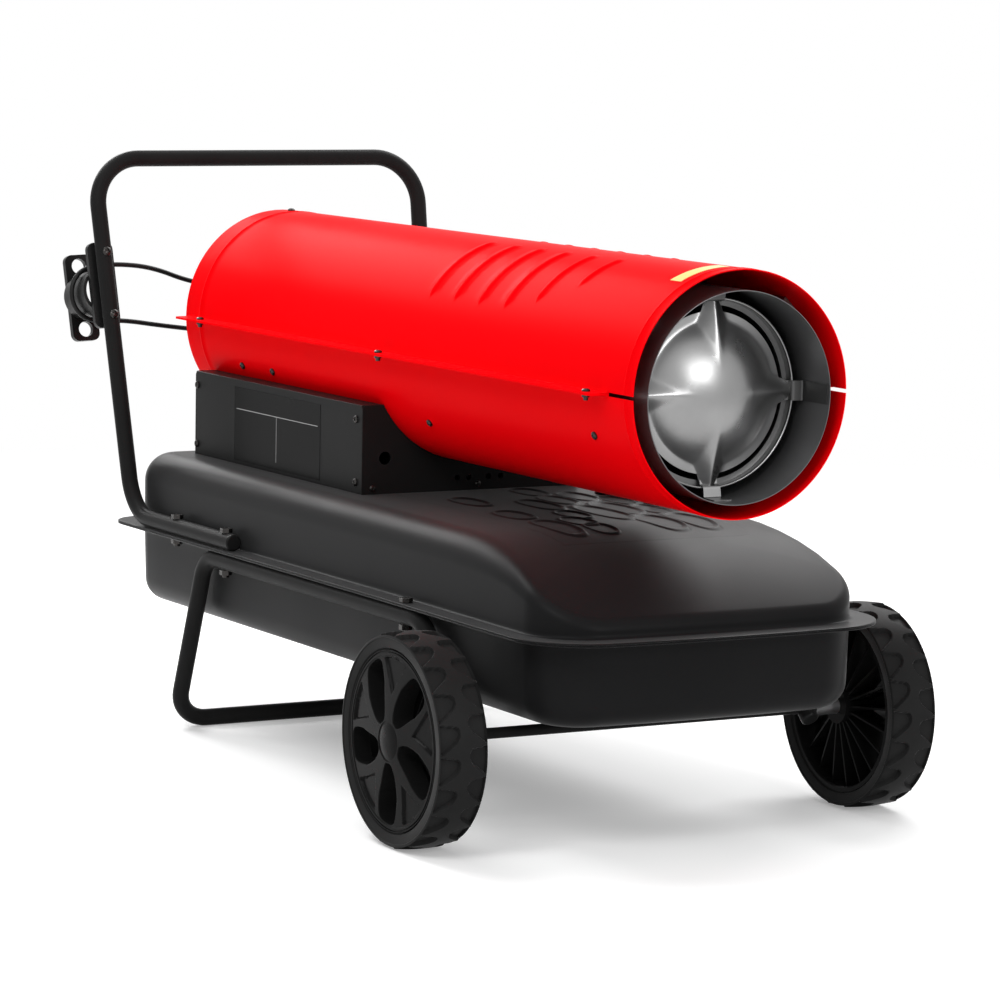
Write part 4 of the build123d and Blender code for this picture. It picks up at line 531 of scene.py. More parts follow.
def rimRound(side, s):
    # barrel with its edge ring, and the hub, each a closed profile (across, radius) round the axle
    ring, inside = s["ringFace"], s["barrelInner"]
    edge = [(ring, 0.0900), (ring + 0.0008, 0.0910), (ring + 0.0008, 0.0930), (ring - 0.0006, 0.0934),
            (ring - 0.0006, 0.0944), (ring + 0.0006, 0.0948), (ring + 0.0006, s["seat"] - 0.0003),
            (ring, s["seat"]), (inside, s["seat"]), (inside, 0.0915), (inside + 0.0015, 0.0900),
            (ring - s["deep"], 0.0890), (ring - 0.003, 0.0890)]
    hub = [(0.3010, 0.0150), (0.3082, 0.0150), (0.3082, 0.0219), (0.3076, 0.0225), (0.2500, 0.0200),
           (0.2500, 0.0062), (0.3000, 0.0062), (0.3000, 0.0150)]
    return [(spin(np.array(profile) * (side, 1), (axleX, 0, axleZ), 1, 160), True, True)
            for profile in (edge, hub)]


def rimRibs(side, s):
    # thin stiffening ribs behind the spokes: flat plates between the hub and the barrel, at equal turns
    ribs = []
    back = s["ringFace"] - s["deep"]
    (hubReach, hubBack), (barrelReach, barrelBack) = s["ribPlate"]
    corners = ((hubReach, hubBack), (barrelReach, barrelBack), (barrelReach, back), (hubReach, back))
    for k in range(s["ribs"]):
        angle = math.radians(360 / s["ribs"] * k + s["ribTurn"])
        out = np.array([math.cos(angle), 0, math.sin(angle)])
        across = np.array([-math.sin(angle), 0, math.cos(angle)]) * s["ribHalf"]
        loop = np.array([out * r + (0, side * y, 0) for r, y in corners])
        middle = loop.mean(0) + 0 * loop
        grid = np.stack([middle + across, loop + across, loop - across, middle - across])
        ribs.append((grid + (axleX, 0, axleZ), False, True))
    return ribs


def hubCapSurface(side, s):
    # low dome that falls with a power of the distance from its middle, and a small step at its foot
    t = np.linspace(0, 1, 18)
    top = np.column_stack([s["apex"] - s["fall"] * t ** s["power"], s["radius"] * t])
    profile = np.concatenate([[[s["apex"], axisRadius]], top[1:], s["foot"]])
    return spin(profile * (side, 1), (axleX, 0, axleZ), 1, 72)


for label, side in (("near", -1), ("far", 1)):
    sectors = [(rimSector(side, rimSettings["windowTilt"] + 360 / rimSettings["spokes"] * k, rimSettings),
                False, True) for k in range(rimSettings["spokes"])]
    addPiece(label + "RimWeb", sectors + rimRound(side, rimSettings) + rimRibs(side, rimSettings),
             "rimPlastic", label + "_wheel", (label + "_rim",), sharp=32)
    addPiece(label + "HubDome", [(hubCapSurface(side, hubSettings), False, True)],
             "rimPlastic", label + "_wheel", (label + "_hub_cap",))
print("rims made")

# tank: rounded plan outline, carried up over the shoulder to the ridge line
tankSettings = dict(
    rear=-0.475461, front=0.572, half=0.1965, rearCorner=0.045, frontCorner=0.062, bow=0.009, top=0.320,
    slopeStart=0.340539, slopeRadius=0.418, sideRound=0.034, noseRound=0.013, rearRound=0.036,
    frontRound=0.009, flangeRear=-0.504461, flangeFront=0.6008, flangeHalf=0.219, flangeCorner=0.075,
    flangeRearCorner=0.044, droop=0.0014, bottom=0.138, bottomRound=0.028, draft=0.026, bowStart=0.30,
    droopStart=0.15, noseFrom=(0.36, 0.55), seamGap=0.0001, wallStart=0.012,
    # (out from the line, up from the seam) round the flange and at the foot of the wall
    upperRim=((-0.001, 0.0001), (-0.0002, 0.0004), (0.0, 0.0010), (-0.0003, 0.0017), (-0.0012, 0.0021),
              (-0.0030, 0.0020)),
    upperFoot=((0.006, 0.0020), (0.0035, 0.0022), (0.0016, 0.0030), (0.0004, 0.0046), (0.0, 0.0068)),
    lowerRim=((-0.001, 0.0), (-0.0004, -0.0003), (0.0, -0.0008), (-0.0003, -0.0016), (-0.0012, -0.0020),
              (-0.003, -0.0020)),
    lowerFoot=((0.005, -0.0020), (0.002, -0.0026), (0.0003, -0.0050)))
bossSettings = dict(
    foot=0.262, flank=0.3185, shoulder=0.3235, top=0.3240, flare=0.0025, inset=0.002,
    rounds=(0.001, 0.001, 0.003, 0.001),
    bosses=((0.120539, 0.146, 0.028), (0.225539, 0.142, 0.023)))     # x, y and radius


def outline(rear, front, half, rearCorner, frontCorner, side=28, end=18, arc=14):
    # rounded rectangle, anticlockwise from the near rear corner, with its outward normals
    parts, normals = [], []
    corners = [(rear + rearCorner, -half + rearCorner, rearCorner, 180),
               (front - frontCorner, -half + frontCorner, frontCorner, 270),
               (front - frontCorner, half - frontCorner, frontCorner, 0),
               (rear + rearCorner, half - rearCorner, rearCorner, 90)]
    for k, (cx, cy, radius, start) in enumerate(corners):
        turn = np.radians(np.linspace(start, start + 90, arc, endpoint=False))
        normal = np.column_stack([np.cos(turn), np.sin(turn)])
        parts.append(np.array([cx, cy]) + normal * radius)
        normals.append(normal)
        nx, ny, nextRadius, _ = corners[(k + 1) % 4]
        last = np.array([math.cos(math.radians(start + 90)), math.sin(math.radians(start + 90))])
        t = np.linspace(0, 1, side if k % 2 == 0 else end, endpoint=False)[:, None]
        begin, finish = np.array([cx, cy]) + last * radius, np.array([nx, ny]) + last * nextRadius
        parts.append(begin * (1 - t) + finish * t)
        normals.append(np.repeat(last[None], len(t), 0))
    return np.concatenate(parts), np.concatenate(normals)


def tankTop(x, s):
    # level, then an arc that falls towards the front
    run = np.maximum(x - s["slopeStart"], 0)
    return s["top"] - s["slopeRadius"] + np.sqrt(s["slopeRadius"] ** 2 - run ** 2)


def ridgeLine(points, s):
    # nearest point of the middle line that the top runs in to
    x = np.clip(points[:, 0], s["rear"] + s["half"], s["front"] - s["half"])
    return np.column_stack([x, np.zeros(len(x))])


def bowed(points, s):
    # the front edge falls back with the square of the distance from the middle, and droops a little
    share = softStep(points[..., :1], s["bowStart"], s["front"])
    offset = s["bow"] * (points[..., 1:2] / s["half"]) ** 2 * share
    drop = s["droop"] * softStep(points[..., :1], s["droopStart"], s["front"])
    return np.concatenate([points[..., :1] - offset, points[..., 1:2], points[..., 2:] - drop], -1)


def raised(plan, height):
    # plan points at a height
    return np.column_stack([plan, np.zeros(len(plan)) + height])


def ringsAlong(plan, normal, steps):
    # one ring for each (out, up): so far out from the plan line and up from the seam
    return [raised(plan + normal * out, seamZ + up) for out, up in steps]


def tankPlan(s):
    # body and flange outlines, each with its normals, and the ridge line
    body = outline(*(s[key] for key in ("rear", "front", "half", "rearCorner", "frontCorner")))
    flange = outline(*(s["flange" + key] for key in ("Rear", "Front", "Half", "RearCorner", "Corner")))
    return (*body, *flange, ridgeLine(body[0], s))


def tankUpperSurface(s):
    # out along the seam, round the flange, up the wall, over a quarter-round shoulder and in to the ridge
    edge, normal, flange, flangeNormal, ridge = tankPlan(s)
    side = s["sideRound"] + (s["noseRound"] - s["sideRound"]) * softStep(edge[:, 0], *s["noseFrom"])
    end = np.where(normal[:, 0] > 0, s["frontRound"], s["rearRound"])
    radius = side * normal[:, 1] ** 2 + end * normal[:, 0] ** 2
    rings = [raised(ridge, seamZ + s["seamGap"])]
    rings += ringsAlong(flange, flangeNormal, s["upperRim"]) + ringsAlong(edge, normal, s["upperFoot"])
    for angle in np.radians(np.concatenate([[0], np.linspace(6, 90, 15)])):
        place = edge - normal * (radius * (1 - math.cos(angle)))[:, None]
        rings.append(raised(place, tankTop(place[:, 0], s) - radius * (1 - math.sin(angle))))
    inner = rings[-1][:, :2]
    for t in np.linspace(0, 1, 30)[1:]:
        place = inner * (1 - t) + ridge * t
        rings.append(raised(place, tankTop(place[:, 0], s)))
    return bowed(np.stack(rings), s)


def tankLowerSurface(s):
    # out along the seam, round the flange, down the drafted wall, round the bottom edge and in below
    edge, normal, flange, flangeNormal, ridge = tankPlan(s)
    rings = [raised(ridge, seamZ)]
    rings += ringsAlong(flange, flangeNormal, s["lowerRim"]) + ringsAlong(edge, normal, s["lowerFoot"])
    straight = s["bottom"] + s["bottomRound"]
    rings += [raised(edge - normal * (seamZ - height) * s["draft"], height)
              for height in np.linspace(seamZ - s["wallStart"], straight, 5)]
    base = edge - normal * (seamZ - straight) * s["draft"]
    rings += [raised(base - normal * (s["bottomRound"] * (1 - math.cos(angle))),
                     straight - s["bottomRound"] * math.sin(angle))
              for angle in np.radians(np.linspace(9, 90, 10))]
    inner = rings[-1][:, :2]
    rings += [raised(inner * (1 - t) + ridge * t, s["bottom"]) for t in np.linspace(0, 1, 12)[1:]]
    return bowed(np.stack(rings), s)


def bossSurface(x, y, radius, s):
    # round boss with a flared foot, turned about an upright axis
    profile = rounded([(s["foot"], axisRadius), (s["foot"], radius + s["flare"]),
                       (s["flank"], radius + s["flare"]), (s["shoulder"], radius),
                       (s["top"], radius - s["inset"]), (s["top"], axisRadius)], s["rounds"])
    return spin(profile, (x, y, 0), 2, 64), False, True


addPiece("tankUpperHalf", [(tankUpperSurface(tankSettings), False, True),
                           *(bossSurface(*boss, bossSettings) for boss in bossSettings["bosses"])],
         "tankPaint", "frame", ("tank_upper",), sharp=50)
addPiece("tankLowerHalf", [(tankLowerSurface(tankSettings), False, True)], "tankPaint", "frame",
         ("tank_lower",), sharp=50)
print("tank made")

# shell: two pressed halves with beads, ribs, seam lips and the slit at the outlet
shellSettings = dict(
    radius=0.130, wall=0.0012, rear=-0.468461, front=0.601539, slit=0.552539, slitHalf=0.002, lip=0.022,
    lipCorner=0.008, lipRear=-0.457461, ribFirst=-0.292, ribPitch=0.0562, ribHalf=0.0056, ribRise=0.0024,
    ribLow=(32, 32, 32, 32, 38, 50), ribHigh=78.0, beads=(-0.849, 0.165), beadRise=0.0006, beadHalf=0.0016,
    ribFade=4.5, ribTip=0.35, ribPower=1.3, bend=0.0022, bendTop=0.0007, root=0.0008, slitFoot=0.001,
    edge=0.0004, step=2e-7)


def shellRadius(x, angle, upper, s):
    # the plain radius, with a low half-round bead near each end and, above, the pressed ribs
    radius = np.full(np.broadcast(x, angle).shape, s["radius"])
    for place in s["beads"]:
        radius = radius + s["beadRise"] * np.maximum(1 - ((x - axleX - place) / s["beadHalf"]) ** 2, 0)
    if upper:
        fromSeam = np.minimum(angle, 180 - angle)
        for k, ribLow in enumerate(s["ribLow"]):
            along = np.clip(np.minimum(fromSeam - ribLow, s["ribHigh"] - fromSeam) / s["ribFade"], 0, 1)
            height = np.sin(along * np.pi / 2)
            middle = axleX + s["ribFirst"] + k * s["ribPitch"]
            half = s["ribHalf"] * (s["ribTip"] + (1 - s["ribTip"]) * height) + 1e-9
            crest = np.maximum(1 - ((x - middle) / half) ** 2, 0) ** s["ribPower"]
            radius = radius + s["ribRise"] * height * crest
    return radius


def lipWidth(x, s):
    # full width, with rounded ends and none ahead of the slit
    inside = np.minimum(x - s["lipRear"], s["slit"] - x)
    back = np.clip(s["lipCorner"] - inside, 0, s["lipCorner"])
    width = s["lip"] - (s["lipCorner"] - np.sqrt(np.maximum(s["lipCorner"] ** 2 - back ** 2, 0)))
    return np.where(inside < -1e-7, 0, width)


def shellRows(upper, s):
    # places along x: even ones, and closer ones at the lip's corners, the slit, the beads and the ribs
    corner, fine = s["lipCorner"] * np.linspace(0, 1, 7), np.linspace(-1, 1, 11)
    middles = [place + axleX for place in s["beads"]]
    rows = [np.linspace(s["rear"], s["front"], 60), s["lipRear"] + corner, s["slit"] - corner,
            [s["lipRear"] - s["step"], s["slit"] + s["step"], s["front"] - s["edge"]]]
    rows += [middle + s["beadHalf"] * fine for middle in middles]
    if upper:
        rows += [axleX + s["ribFirst"] + k * s["ribPitch"] + s["ribHalf"] * fine
                 for k in range(len(s["ribLow"]))]
    return np.unique(np.round(np.concatenate(rows), 8))[:, None]


def shellSurface(upper, s):
    # half a round wall from seam to seam with a flat lip at each, its inside, and a ring at each end
    x = shellRows(upper, s)
    quarter = np.concatenate([np.linspace(2.2, 29, 9), np.linspace(31, 56, 21), np.linspace(58, 70, 6),
                              np.linspace(72, 79, 8), [82, 86]])
    arc = np.concatenate([quarter, [90], 180 - quarter[::-1]])[None, :]
    low = np.where(x > s["slit"] + s["step"] / 2, s["slitHalf"], 0)
    width, thick = lipWidth(x, s), s["wall"]
    radius = shellRadius(x, arc, upper, s)
    along, rise = -radius * np.cos(np.radians(arc)), radius * np.sin(np.radians(arc))
    foot = np.sqrt(s["radius"] ** 2 - low ** 2)
    hasLip = width > 0
    lipTop = np.where(hasLip, low + thick, low)
    lipY = np.concatenate([foot + width, foot + width, np.where(hasLip, foot + s["bend"], foot),
                           np.where(hasLip, foot + s["root"], foot)], 1)
    lipZ = np.concatenate([low, lipTop, lipTop,
                           np.where(hasLip, low + thick + s["bendTop"], low + s["slitFoot"])], 1)
    outerY = np.concatenate([-lipY, along, lipY[:, ::-1]], 1)
    outerZ = np.concatenate([lipZ, rise, lipZ[:, ::-1]], 1)
    lowAngle = np.degrees(np.arcsin(low / s["radius"]))
    innerAngle = np.concatenate([np.zeros((1, 4)), arc, np.full((1, 4), 180.0)], 1)
    innerAngle = np.clip(np.repeat(innerAngle, len(x), 0), lowAngle, 180 - lowAngle)
    bore = s["radius"] - thick
    innerY, innerZ = -bore * np.cos(np.radians(innerAngle)), bore * np.sin(np.radians(innerAngle))
    atSeam = (innerAngle <= lowAngle + 1e-6) | (innerAngle >= 180 - lowAngle - 1e-6)
    innerZ = np.where(atSeam, low, innerZ)
    sign = 1 if upper else -1
    longX = np.repeat(x, outerY.shape[1], 1)
    outer = np.stack([longX, outerY, shellZ + sign * outerZ], -1)
    inner = np.stack([longX, innerY, shellZ + sign * innerZ], -1)
    rings = [(np.stack([outer[end], inner[end]]), False, False) for end in (0, -1)]
    return [(np.concatenate([outer, inner[:, ::-1]], 1), False, True)] + rings


for label, upper in (("upper", True), ("lower", False)):
    addPiece(label + "ShellSkin", shellSurface(upper, shellSettings), "redPaint", "frame",
             (label + "_shell",), sharp=40)

# film patch near the outlet
patchSettings = dict(start=0.133, end=0.154, low=63, high=90, lift=0.0004)


def patchSurface(radius, s):
    # thin film wrapped on the shell: angle from the near seam, x along it
    x = np.linspace(s["start"], s["end"], 6)[:, None] + axleX
    angle = np.radians(np.linspace(s["low"], s["high"], 24))[None, :]
    return [(np.stack(np.broadcast_arrays(x, -reach * np.cos(angle), shellZ + reach * np.sin(angle)), -1),
             False, False) for reach in (radius, radius + s["lift"])]


addPiece("outletPatch", patchSurface(shellSettings["radius"], patchSettings), "yellowFilm", "frame")
print("shell made")

# heat shield and the chamber's rolled rim
shieldProfile = rounded([(0.040539, 0.1105), (0.040539, 0.1115), (0.600539, 0.1115), (0.600539, 0.1105)],
                        (0.0004, 0.0005), 3)
rimProfile = rounded([(0.5405, 0.1000), (0.5462, 0.1006), (0.5472, 0.0996), (0.5470, 0.0982),
                      (0.5440, 0.0978), (0.5360, 0.0975), (0.5350, 0.0930), (0.5345, 0.0926),
                      (0.5340, 0.0935), (0.5345, 0.0985)], [0.0008] * 8, 3)
addPiece("shieldTube", [(spin(shieldProfile, (0, 0, linerZ), 0, 256), True, True)], "linerSteel", "frame",
         ("heat_shield",))
addPiece("chamberRim", [(spin(rimProfile, (0, 0, linerZ), 0, 200), True, True)], "pressedSteel", "frame")

# deflector: a dome with four creased arms on a flat ring
deflectorSettings = dict(
    base=0.540539, rise=0.0262, radius=0.0755, ring=0.0855, reach=0.0985, ridgeStart=0.040,
    ridgeSlope=0.225, roof=0.68, crown=0.0044, crownTip=0.0013, crownFrom=(0.05, 0.085), blend=0.0024,
    wall=0.0012, sink=0.03, sinkShare=0.8, probe=0.04, least=0.0006, foot=0.0012)


def deflectorHeight(across, along, s):
    # the higher of a flattened dome and four gabled ridges, rounded where they meet
    reach = np.hypot(across, along)
    dome = s["rise"] * (1 - (reach / s["radius"]) ** 2)
    start = s["rise"] * (1 - (s["ridgeStart"] / s["radius"]) ** 2)
    height = dome
    crownFall = s["crownTip"] - s["crown"]
    for out, side in ((across, along), (-across, along), (along, across), (-along, across)):
        ridge = start - s["ridgeSlope"] * np.maximum(out - s["ridgeStart"], 0)
        crown = s["crown"] + crownFall * softStep(out, *s["crownFrom"])
        roof = ridge - s["roof"] * (np.sqrt(side ** 2 + crown ** 2) - crown)
        roof = roof - s["sink"] * (1 - softStep(out, 0.0, s["ridgeStart"] * s["sinkShare"]))
        height = softMax(height, roof, s["blend"])
    return height


def deflectorSurface(s):
    # rays from the middle, each to where the height ends and then flat to the ring; the back is the same form
    turn = np.linspace(0, 2 * np.pi, 512, endpoint=False)
    probe = np.linspace(s["probe"], s["reach"], 500)[:, None]
    above = deflectorHeight(probe * np.cos(turn), probe * np.sin(turn), s) > s["least"]
    rim = probe[len(probe) - 1 - np.argmax(above[::-1], axis=0), 0]
    outer = np.maximum(rim, s["ring"])
    t = np.concatenate([np.linspace(0, 0.4, 10), np.linspace(0.42, 1, 44)])[:, None]
    reach = np.concatenate([rim * t, rim + (outer - rim) * np.array([[0.1], [0.4], [0.97], [1.0]])])
    y, z = reach * np.cos(turn), reach * np.sin(turn)
    height = deflectorHeight(y, z, s)
    height = softMax(height, 0 * height, s["foot"])
    front = np.stack([s["base"] + height, y, linerZ + z], -1)
    back = front - (s["wall"], 0, 0)
    return [(np.concatenate([front, back[::-1]]), False, True)]


addPiece("deflectorPressing", deflectorSurface(deflectorSettings), "pressedSteel", "frame",
         ("deflector",), sharp=60)

# straps that hold the deflector's arms; the three arm straps take a darker copy of the pressed steel, painted
# shade for where they sit in shadow, while the bottom strap keeps the plain pressed steel
strapSettings = dict(
    width=0.021, wall=0.0014, rounds=(0.002, 0.002, 0.003, 0.002), shortEnd=(0.5720, 0.1096),
    longEnd=(0.5975, 0.1097),
    start=((0.5415, 0.0900), (0.5425, 0.0965), (0.5490, 0.0972), (0.5500, 0.1030), (0.5510, 0.1092)))


def strapSurface(turn, end, s):
    # flat strip turned about the chamber's axis: from the arm's end over the chamber's rim to the heat shield
    profile = rounded([*s["start"], s[end]], s["rounds"], 4)
    ahead = np.gradient(profile, axis=0)
    ahead /= np.linalg.norm(ahead, axis=1)[:, None]
    across = np.column_stack([-ahead[:, 1], ahead[:, 0]]) * s["wall"] / 2
    loop = np.stack([profile + across, profile + across, profile - across, profile - across], 1)
    side = np.array([-1, 1, 1, -1])[None, :] * s["width"] / 2
    x, reach = loop[..., 0], loop[..., 1]
    cosine, sine = math.cos(math.radians(turn)), math.sin(math.radians(turn))
    grid = np.stack([x, reach * cosine - side * sine, linerZ + reach * sine + side * cosine], -1)
    return np.stack([grid[0].mean(0) + 0 * grid[0], *grid, grid[-1].mean(0) + 0 * grid[0]]), False, True


addPiece("bottomStrap", [strapSurface(-90, "shortEnd", strapSettings)], "pressedSteel", "frame",
         sharp=30)
# the arm straps in the darker steel: painted shade
addPiece("armStraps", [strapSurface(turn, end, strapSettings)
                       for turn, end in ((0, "longEnd"), (90, "shortEnd"), (180, "longEnd"))],
         "shadedStrapSteel", "frame", sharp=30)
print("outlet made")

# screws: pan heads with a cross recess
screwSettings = dict(
    radius=0.0045, height=0.003, recess=0.0013, arm=0.00075, cross=0.0026, spread=1.12, power=2.6,
    foot=0.0005, reach=(axisRadius, 0.0004, 0.0009, 0.0014, 0.0019, 0.0024, 0.0029, 0.0034, 0.0040, 0.0044,
                        0.0045, 0.0045),
    # screws in the seam lips with their nuts, on the shell (back, angle), and at its rear end
    lips=(0.825, 0.356, -0.106), lipOut=0.141, lipTop=0.0012,
    nut=((-0.0082, axisRadius), (-0.0082, 0.0026), (-0.0052, 0.0026), (-0.0050, 0.0042), (-0.0012, 0.0044),
         (-0.0012, axisRadius)), nutRounds=(0.0004, 0.0003, 0.0004, 0.0003),
    shell=((0.746, 22), (0.664, 22), (0.292, 34), (-0.093, 21)), rearBack=0.863, rearAngles=(90, 215, 325),
    # on the covers, on the two plates at a smaller scale, and in the cord holders at a larger one
    coverX=(0.015039, -0.407961), coverZ=(0.405, 0.333), coverOut=0.1415,
    plateX=((0.030039, 1), (-0.413961, -1)), plateY=(-0.128, 0.009, 0.128), plateZ=0.327, plateScale=0.78,
    leg=(-0.21305, 0.03626, 0.97636), rearward=(-0.97703, 0, -0.2131), holder=(-0.5063, 0.2194, 0.52285),
    holderHalf=0.0387, holderDepth=0.0094, holderScale=1.25)


def screwHead(place, axis, s, scale=1.0):
    # domed head over (reach, turn); the cross lies where either coordinate is small
    place, axis = np.asarray(place, float), np.asarray(axis, float) / np.linalg.norm(axis)
    side = np.cross(axis, (0.31, 0.2, 0.93))
    side /= np.linalg.norm(side)
    flank = np.cross(axis, side)
    turn = np.linspace(0, 2 * np.pi, 32, endpoint=False)[None, :]
    reach = np.array(s["reach"])[:, None] * scale
    dome = np.sqrt(np.maximum(1 - (reach / (s["radius"] * scale * s["spread"])) ** s["power"], 0))
    height = s["height"] * scale * dome
    height[-1] = -s["foot"]
    one, two = reach * np.cos(turn), reach * np.sin(turn)
    inCross = ((np.minimum(np.abs(one), np.abs(two)) < s["arm"] * scale)
               & (np.maximum(np.abs(one), np.abs(two)) < s["cross"] * scale))
    height = height - np.where(inCross, s["recess"] * scale, 0)
    grid = place + side * one[..., None] + flank * two[..., None] + axis * height[..., None]
    return np.concatenate([grid, np.repeat((place - axis * s["foot"])[None, None], 32, 1)]), False, True


def shellSpot(back, angle):
    # place on the shell and the way out of it; 0 degrees is the near seam, 90 the top
    out = np.array([0, -math.cos(math.radians(angle)), math.sin(math.radians(angle))])
    return np.array([axleX - back, 0, shellZ]) + out * shellSettings["radius"], out


def allScrews(s):
    # each group's heads, mirrored where the group has two sides
    heads = []
    for back in s["lips"]:
        for side in (-1, 1):
            x, y = axleX - back, side * s["lipOut"]
            heads.append(screwHead((x, y, shellZ + s["lipTop"]), (0, 0, 1), s))
            heads.append((spin(rounded(s["nut"], s["nutRounds"], 2), (x, y, shellZ), 2, 24), False, True))
    for back, angle in s["shell"]:
        heads += [screwHead(*shellSpot(back, around), s) for around in (-angle, 180 + angle)]
    heads += [screwHead(*shellSpot(s["rearBack"], around), s) for around in s["rearAngles"]]
    heads += [screwHead((x, side * s["coverOut"], z), (0, side, 0), s)
              for x in s["coverX"] for z in s["coverZ"] for side in (-1, 1)]
    heads += [screwHead((x, y, s["plateZ"]), (way, 0, 0), s, s["plateScale"])
              for x, way in s["plateX"] for y in s["plateY"]]
    leg, rearward = np.array(s["leg"]), np.array(s["rearward"])
    for side in (-1, 1):
        for along in (-s["holderHalf"], s["holderHalf"]):
            place = (np.array(s["holder"]) + leg * along - rearward * s["holderDepth"]) * (1, side, 1)
            heads.append(screwHead(place, -rearward, s, s["holderScale"]))
    return heads


addPiece("crossHeadScrews", allScrews(screwSettings), "blackScrew", "frame", ("small_screws",),
         sharp=28)
print("screws made")

# crisp CAD pieces with a small round along their edges
softSettings = dict(weld=1e-6, flat=1.5, sharp=30, bend=40, steps=2)


def softenEdges(name, node, width, material, body, s):
    # a copy of the node, merged and cleared of flat diagonals, then bevelled
    mesh = nodes[node].data.copy()
    work = bmesh.new()
    work.from_mesh(mesh)
    bmesh.ops.remove_doubles(work, verts=work.verts, dist=s["weld"])
    bmesh.ops.dissolve_limit(work, angle_limit=math.radians(s["flat"]), verts=work.verts, edges=work.edges)
    work.to_mesh(mesh)
    work.free()
    smoothMesh(mesh, material, s["sharp"])
    piece = placeObject(name, mesh)
    bevel = piece.modifiers.new("edges", "BEVEL")
    bevel.width, bevel.segments, bevel.limit_method = width, s["steps"], "ANGLE"
    bevel.angle_limit = math.radians(s["bend"])
    bevel.use_clamp_overlap = True
    bevel.harden_normals = True
    dress(piece, body, (node,))


for name, node, width, material, slotName, body in (
        ("nearCoverSheet", "near_cover", 0.0012, "consolePaint", "console_black", "frame"),
        ("farCoverSheet", "far_cover", 0.0012, "consolePaint", "console_black", "frame"),
        ("frontPlateSheet", "front_plate", 0.0004, "consolePaint", "console_black", "frame"),
        ("rearPlateSheet", "rear_plate", 0.0004, "consolePaint", "console_black", "frame"),
        ("nearHolder", "near_cord_holder", 0.0012, "blackPlastic", "black_plastic", "frame"),
        ("farHolder", "far_cord_holder", 0.0012, "blackPlastic", "black_plastic", "frame"),
        ("frameBolts", "frame_bolts", 0.0005, "blackScrew", "screw_black", "frame"),
        ("fillerCap", "fuel_cap", 0.0006, "blackPlastic", "black_plastic", "filler_cap"),
        ("dialKnob", "thermostat_knob", 0.0006, "blackPlastic", "black_plastic", "thermostat_dial")):
    softenEdges(name, node, width, material, body, softSettings)

# label film: two thin rules that divide it
labelSettings = dict(left=-0.297461, right=-0.081461, low=0.333, high=0.387, y=-0.14195, line=0.0007)


def ruleBox(x0, x1, z0, z1, y):
    # flat upright rectangle
    return np.array([[(x0, y, z0), (x0, y, z1)], [(x1, y, z0), (x1, y, z1)]], float), False, False


def labelRules(s):
    # one rule across under the head, and one down the middle below it
    middle, half, high = (s["left"] + s["right"]) / 2, s["line"] / 2, s["high"]
    return [ruleBox(s["left"], s["right"], high - half, high + half, s["y"]),
            ruleBox(middle - half, middle + half, s["low"], high, s["y"])]


addPiece("labelRules", labelRules(labelSettings), "labelLine", "frame")
print("console made")

# pressed pattern on the tank's top, as a skin that fades into it
patternSettings = dict(
    x=(-0.392, 0.012), y=(-0.110, 0.140), stepX=0.0014, stepY=0.0010, rim=0.0024, rimFrom=(-0.06, 0.12),
    dishFrom=(0.14, 0.34), floor=0.0002, border=0.010, sunk=0.0004, lift=0.0005, power=2.4, farShare=0.25,
    lobes=(  # middle x and y, length and width in millimetres; x from the axle
        (-340, 50, 66, 24), (-266, 44, 70, 24), (-155, 38, 112, 26), (-288, 82, 74, 24), (-180, 70, 96, 28),
        (-72, 60, 92, 28), (-72, 100, 96, 26), (-160, 104, 76, 22), (-240, 108, 70, 20), (-286, -58, 70, 24),
        (-168, -68, 66, 26), (-72, -68, 90, 26), (-236, 4, 84, 24), (-100, -26, 60, 24), (-52, -26, 52, 22),
        (-150, -4, 60, 22)), grownLength=1700, grownWidth=1400)


def patternHeight(x, y, s):
    # each lobe is an oval rim round a shallow dish; where lobes overlap the higher one shows
    height = np.zeros(np.broadcast(x, y).shape)
    for middleX, middleY, length, width in s["lobes"]:
        along = (x - axleX - middleX / 1000) / (length / s["grownLength"])
        across = (y - middleY / 1000) / (width / s["grownWidth"])
        inside = 1 - np.sqrt(np.abs(along) ** s["power"] + np.abs(across) ** s["power"])
        side = 1 - s["farShare"] + s["farShare"] * np.clip(across, -1, 1)
        dish = softStep(inside, *s["dishFrom"])
        rim = s["rim"] * softStep(inside, *s["rimFrom"]) * side
        height = np.maximum(height, rim * (1 - dish) + s["floor"] * dish)
    return height


def patternSurface(s):
    # the tank's top again, a little sunk at its border and raised by the pattern within it
    x = np.arange(*s["x"], s["stepX"])[:, None] + axleX
    y = np.arange(*s["y"], s["stepY"])[None, :]
    inward = np.minimum(np.minimum(x - x[0], x[-1] - x), np.minimum(y - y[0, 0], y[0, -1] - y))
    fade = softStep(inward, 0, s["border"])
    z = tankTop(x, tankSettings) - s["sunk"] + (s["lift"] + patternHeight(x, y, s)) * fade
    return bowed(np.stack(np.broadcast_arrays(x, y, z), -1), tankSettings), False, False


addPiece("tankPressing", [patternSurface(patternSettings)], "tankPaint", "frame", sharp=80)
print("tank pattern made")

# floor, backdrop and light
stageSettings = dict(half=30, floorColor=0.86, floorLift=0.27, fadeStart=1.4, fadeEnd=3.2, ambient=0.5)
lampSettings = (
    dict(name="keyLight", place=(1.9, -2.3, 2.9), aim=(0.1, 0, 0.4), size=(1.6, 1.4), power=46),
    dict(name="frontLight", place=(3.4, 0.4, 1.45), aim=(0.5, 0, 0.45), size=(1.3, 1.0), power=26),
    dict(name="topLight", place=(-1.1, -0.8, 2.7), aim=(0.1, 0, 0.4), size=(1.2, 0.9), power=26),
    dict(name="backLight", place=(-2.8, -0.2, 2.0), aim=(0, 0, 0.35), size=(1.8, 1.1), power=52),
    dict(name="farLight", place=(-1.1, 1.9, 2.3), aim=(0.3, 0, 0.35), size=(2.0, 1.4), power=58),
)


